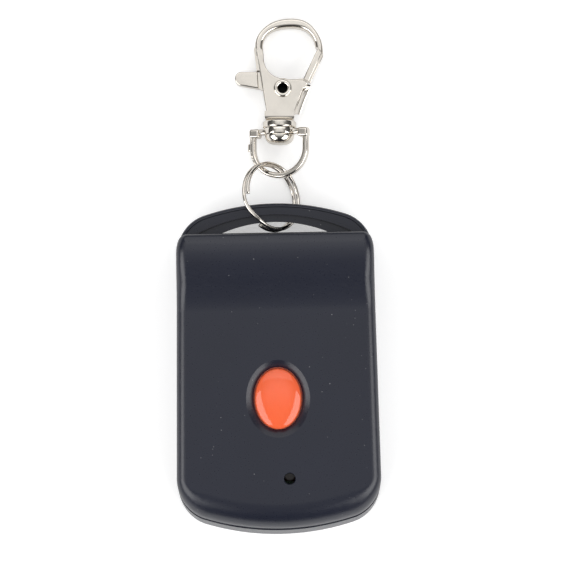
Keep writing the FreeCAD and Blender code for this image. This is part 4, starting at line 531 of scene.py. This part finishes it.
@dataclass(frozen=True)
class SoftCopy:
    """Stands in for a CAD node: a merged copy with broken edges and smooth shading.

    With no edge to break, as on wire, the facets stay as they are and only the shading changes.
    """

    node: str
    name: str
    body: str
    slot: str
    edge_mm: float = 0.0
    smooth_deg: float = 32.0
    edge_faces: int = 2
    merge_mm: float = 0.002
    flat_deg: float = 0.6
    face_weight: int = 80

    def build(self, shape: Shaping | None = None) -> bpy.types.Object:
        """Make the piece.

        Args:
            shape: what is done to the merged copy before its edges are broken.

        Returns:
            The new piece.
        """
        piece = self.copied()
        if shape:
            shape(piece)
        if self.edge_mm:
            apply_modifier(piece, "BEVEL", width=self.edge_mm * MM, segments=self.edge_faces,
                           limit_method="ANGLE", angle_limit=math.radians(self.smooth_deg),
                           use_clamp_overlap=True, miter_outer="MITER_ARC",
                           harden_normals=False)
        take(piece)
        bpy.ops.object.shade_smooth_by_angle(angle=math.radians(self.smooth_deg))
        if self.edge_mm:
            apply_modifier(piece, "WEIGHTED_NORMAL", mode="FACE_AREA", weight=self.face_weight,
                           keep_sharp=True)
        piece.data.materials.clear()
        piece.data.materials.append(Finishes.get(self.slot))
        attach(piece, self.body)
        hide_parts(self.node)
        triangles = sum(len(face.vertices) - 2 for face in piece.data.polygons)
        LOG.info("%s: %d triangles, rides on %s", piece.name, triangles, self.body)
        return piece

    def copied(self) -> bpy.types.Object:
        """Copy the CAD node and merge its loose triangles.

        Returns:
            The copy, with a mesh of its own.
        """
        source = frame["nodes"][self.node]
        piece = source.copy()
        piece.data = source.data.copy()
        piece.name = self.name
        piece.data.name = self.name
        piece.parent = None
        bpy.context.scene.collection.objects.link(piece)
        take(piece)
        bpy.ops.object.mode_set(mode="EDIT")
        bpy.ops.mesh.select_all(action="SELECT")
        bpy.ops.mesh.remove_doubles(threshold=self.merge_mm * MM)
        if self.edge_mm:
            bpy.ops.mesh.dissolve_limited(angle_limit=math.radians(self.flat_deg))
        bpy.ops.object.mode_set(mode="OBJECT")
        return piece


@dataclass
class Shells:
    """Front and rear halves of the case, with the parting line between them."""

    front_edge_mm: float = 0.12
    rear_edge_mm: float = 0.07
    seam_mm: float = 7.6
    near_mm: float = 0.01
    gap_mm: float = 0.40
    draw_in: float = 0.992

    def build(self) -> None:
        """Make the two shells."""
        SoftCopy("front_shell", "front_shell_finished", "case", "case_plastic",
                 self.front_edge_mm).build(self.draw_in_ends)
        SoftCopy("rear_shell", "rear_shell_finished", "case", "case_plastic",
                 self.rear_edge_mm).build(self.lower_rim)

    def draw_in_ends(self, piece: bpy.types.Object) -> None:
        """Set the front shell's ends in by a hair, which leaves a ledge at the parting line."""
        for vertex in piece.data.vertices:
            vertex.co.y *= self.draw_in

    def lower_rim(self, piece: bpy.types.Object) -> None:
        """Lower the rear shell's rim, which opens the parting line.

        Args:
            piece: the rear shell's copy.
        """
        for vertex in piece.data.vertices:
            if abs(vertex.co.z - self.seam_mm * MM) < self.near_mm * MM:
                vertex.co.z -= self.gap_mm * MM


@dataclass
class PushButton:
    """The domed button cap."""

    edge_mm: float = 0.10

    def build(self) -> None:
        """Make the cap."""
        SoftCopy("button_cap", "button_cap_finished", "button", "button_plastic",
                 self.edge_mm).build()


@dataclass
class KeyRing:
    """The split ring through the case's loop."""

    smooth_deg: float = 40.0

    def build(self) -> None:
        """Make the wire smooth."""
        SoftCopy("split_ring", "split_ring_finished", "ring", "ring_nickel",
                 smooth_deg=self.smooth_deg).build()


@dataclass
class SwivelClasp:
    """Bail, swivel, hook and trigger, cast and plated."""

    edge_mm: float = 0.16
    parts: dict[str, str] = field(default_factory=lambda: {
        "swivel_bail": "bail", "hook_body": "hook", "swivel_rivet": "hook",
        "pivot_rivet": "hook", "trigger_lever": "trigger"})

    def build(self) -> None:
        """Make the castings and their rivets."""
        for node, body in self.parts.items():
            SoftCopy(node, node + "_finished", body, "clasp_nickel", self.edge_mm).build()


@dataclass
class Inside:
    """Board, switch, chips, lamp and battery: kept as built, each with its own finish."""

    dome_foot_mm: float = 7.42
    travel_mm: float = 0.4
    smooth_deg: float = 40.0

    def build(self) -> None:
        """Dress every CAD node, and stand a smooth-shaded copy with a mesh of its own in for the
        switch's snap dome.
        """
        slots = {row["node"]: row["material_slot"] for row in frame["record"]["subparts"]}
        for node, slot in slots.items():
            dress_node(node, slot)
        dome = SoftCopy("tact_switch_dome", "tact_switch_dome_sprung", "case",
                        slots["tact_switch_dome"], smooth_deg=self.smooth_deg).build()
        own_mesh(dome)


@dataclass(frozen=True)
class SoftBox:
    """A rectangular lamp that faces the middle of the case.

    Its azimuth goes round the case from +X, and its elevation is over the table.
    """

    name: str
    azimuth_deg: float
    elevation_deg: float = 36.0
    wide_m: float = 0.60
    high_m: float = 0.34
    watts: float = 2.3
    far_m: float = 0.55

    def build(self) -> None:
        """Add the lamp."""
        turn = math.radians(self.azimuth_deg)
        rise = math.radians(self.elevation_deg)
        place = Vector((math.cos(rise) * math.cos(turn), math.cos(rise) * math.sin(turn),
                        math.sin(rise))) * self.far_m
        bpy.ops.object.light_add(type="AREA", location=place,
                                 rotation=(-place).to_track_quat("-Z", "Y").to_euler())
        lamp = bpy.context.object
        lamp.name = self.name
        lamp.data.shape = "RECTANGLE"
        lamp.data.size = self.wide_m
        lamp.data.size_y = self.high_m
        lamp.data.energy = self.watts


@dataclass
class Studio:
    """Camera, table and lights of the photograph.

    The tent's two lists give its light by direction, each as places and levels. One goes from
    level with the table (0) to straight overhead (1), the other from the foot end (0) to the
    clasp end (1), and their levels multiply.
    """

    camera_mm: Triple = (2.51, 19.46, 480.0)
    roll_deg: float = -1.0
    lens_mm: float = 144.0
    sensor_mm: float = 36.0
    clip_near_m: float = 0.01
    clip_far_m: float = 20.0
    floor_mm: float = 3000.0
    floor_drop_mm: float = 0.02
    card_colour: str = "E8E8E8"
    card_roughness: float = 0.8
    fibre_mm: float = 2.0
    fibre_high_mm: float = 0.01
    fibre_bump: float = 0.1
    lift: float = 0.38
    lift_in_gloss: float = 0.4
    overhead: tuple[Pair, ...] = ((0.0, 0.04), (0.50, 0.10), (0.78, 0.28), (0.93, 0.86))
    lengthwise: tuple[Pair, ...] = ((0.12, 0.22), (0.36, 0.30), (0.47, 0.80), (0.57, 1.15))
    boxes: tuple[SoftBox, ...] = (SoftBox("left_box", 209.0), SoftBox("right_box", 330.0),
                                  SoftBox("back_box", 90.0, 43.0, 0.90, 0.40, 1.1))

    def build(self) -> None:
        """Make camera, table and lights, and set the view."""
        self.camera()
        self.table()
        self.tent()
        for box in self.boxes:
            box.build()
        bpy.context.scene.view_settings.view_transform = "Standard"

    def camera(self) -> None:
        """A long lens straight above the table."""
        bpy.ops.object.camera_add(location=tuple(part * MM for part in self.camera_mm),
                                  rotation=(0.0, 0.0, math.radians(self.roll_deg)))
        camera = bpy.context.object
        camera.data.lens = self.lens_mm
        camera.data.sensor_width = self.sensor_mm
        camera.data.clip_start = self.clip_near_m
        camera.data.clip_end = self.clip_far_m
        bpy.context.scene.camera = camera

    def table(self) -> None:
        """A white table top that keeps the object's shadow."""
        bpy.ops.mesh.primitive_plane_add(size=self.floor_mm * MM,
                                         location=(0.0, 0.0, -self.floor_drop_mm * MM))
        floor = bpy.context.object
        floor.name = "table_top"
        bpy.ops.object.transform_apply(location=True)
        floor.data.materials.append(self.card())

    def card(self) -> bpy.types.Material:
        """Uncoated white card: matt, with fine fibres.

        The camera sees it a little lighter than it is, as on an overexposed table, and so do
        reflections by a share.

        Returns:
            The finished material.
        """
        material, tree, shader, place = start_material("white_card")
        shader.inputs["Base Color"].default_value = linear(self.card_colour)
        shader.inputs["Roughness"].default_value = self.card_roughness
        fibre = add_node(tree, "ShaderNodeTexNoise", {"Scale": per_metre(self.fibre_mm)},
                         {"Vector": (place, "Object")})
        bump = add_node(tree, "ShaderNodeBump",
                        {"Strength": self.fibre_bump, "Distance": self.fibre_high_mm * MM},
                        {"Height": (fibre, 0)})
        tree.links.new(bump.outputs[0], shader.inputs["Normal"])
        path = add_node(tree, "ShaderNodeLightPath")
        glossy = add_node(tree, "ShaderNodeMath",
                          {"operation": "MULTIPLY", 1: self.lift_in_gloss},
                          {0: (path, "Is Glossy Ray")})
        seen = add_node(tree, "ShaderNodeMath", {"operation": "MAXIMUM"},
                        {0: (path, "Is Camera Ray"), 1: (glossy, 0)})
        lift = add_node(tree, "ShaderNodeMath", {"operation": "MULTIPLY", 1: self.lift},
                        {0: (seen, 0)})
        light = add_node(tree, "ShaderNodeEmission", {"Color": grey(1.0)},
                         {"Strength": (lift, 0)})
        both = add_node(tree, "ShaderNodeAddShader", {}, {0: (shader, 0), 1: (light, 0)})
        output = next(node for node in tree.nodes if node.type == "OUTPUT_MATERIAL")
        tree.links.new(both.outputs[0], output.inputs["Surface"])
        return material

    def tent(self) -> None:
        """A white tent: bright overhead, dim low down and dim at the foot end."""
        world = bpy.data.worlds.new("light_tent")
        bpy.context.scene.world = world
        world.use_nodes = True
        tree = world.node_tree
        tree.nodes.clear()
        place = add_node(tree, "ShaderNodeTexCoord")
        parts = add_node(tree, "ShaderNodeSeparateXYZ", {}, {0: (place, "Generated")})
        dome = add_node(tree, "ShaderNodeValToRGB", links={0: (parts, "Z")},
                        stops=[(at, grey(level)) for at, level in self.overhead])
        along = add_node(tree, "ShaderNodeMapRange", {"From Min": -1.0, "From Max": 1.0},
                         {"Value": (parts, "Y")})
        ends = add_node(tree, "ShaderNodeValToRGB", links={0: (along, 0)},
                        stops=[(at, grey(level)) for at, level in self.lengthwise])
        shade = add_node(tree, "ShaderNodeMix",
                         {"data_type": "RGBA", "blend_type": "MULTIPLY", 0: 1.0},
                         {MIX_A: (dome, 0), MIX_B: (ends, 0)})
        walls = add_node(tree, "ShaderNodeBackground", {"Strength": 1.0},
                         {"Color": (shade, MIX_COLOUR)})
        white = add_node(tree, "ShaderNodeBackground", {"Color": grey(1.0), "Strength": 1.0})
        path = add_node(tree, "ShaderNodeLightPath")
        mix = add_node(tree, "ShaderNodeMixShader", {}, {0: (path, "Is Camera Ray"),
                                                         1: (walls, 0), 2: (white, 0)})
        add_node(tree, "ShaderNodeOutputWorld", {}, {"Surface": (mix, 0)})


def main() -> None:
    """Build and dress the remote, then its studio."""
    logging.basicConfig(level=logging.INFO, format="%(message)s")
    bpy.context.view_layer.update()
    deselect()
    Inside().build()
    Shells().build()
    PushButton().build()
    KeyRing().build()
    SwivelClasp().build()
    Studio().build()


if __name__ == "__main__":
    main()
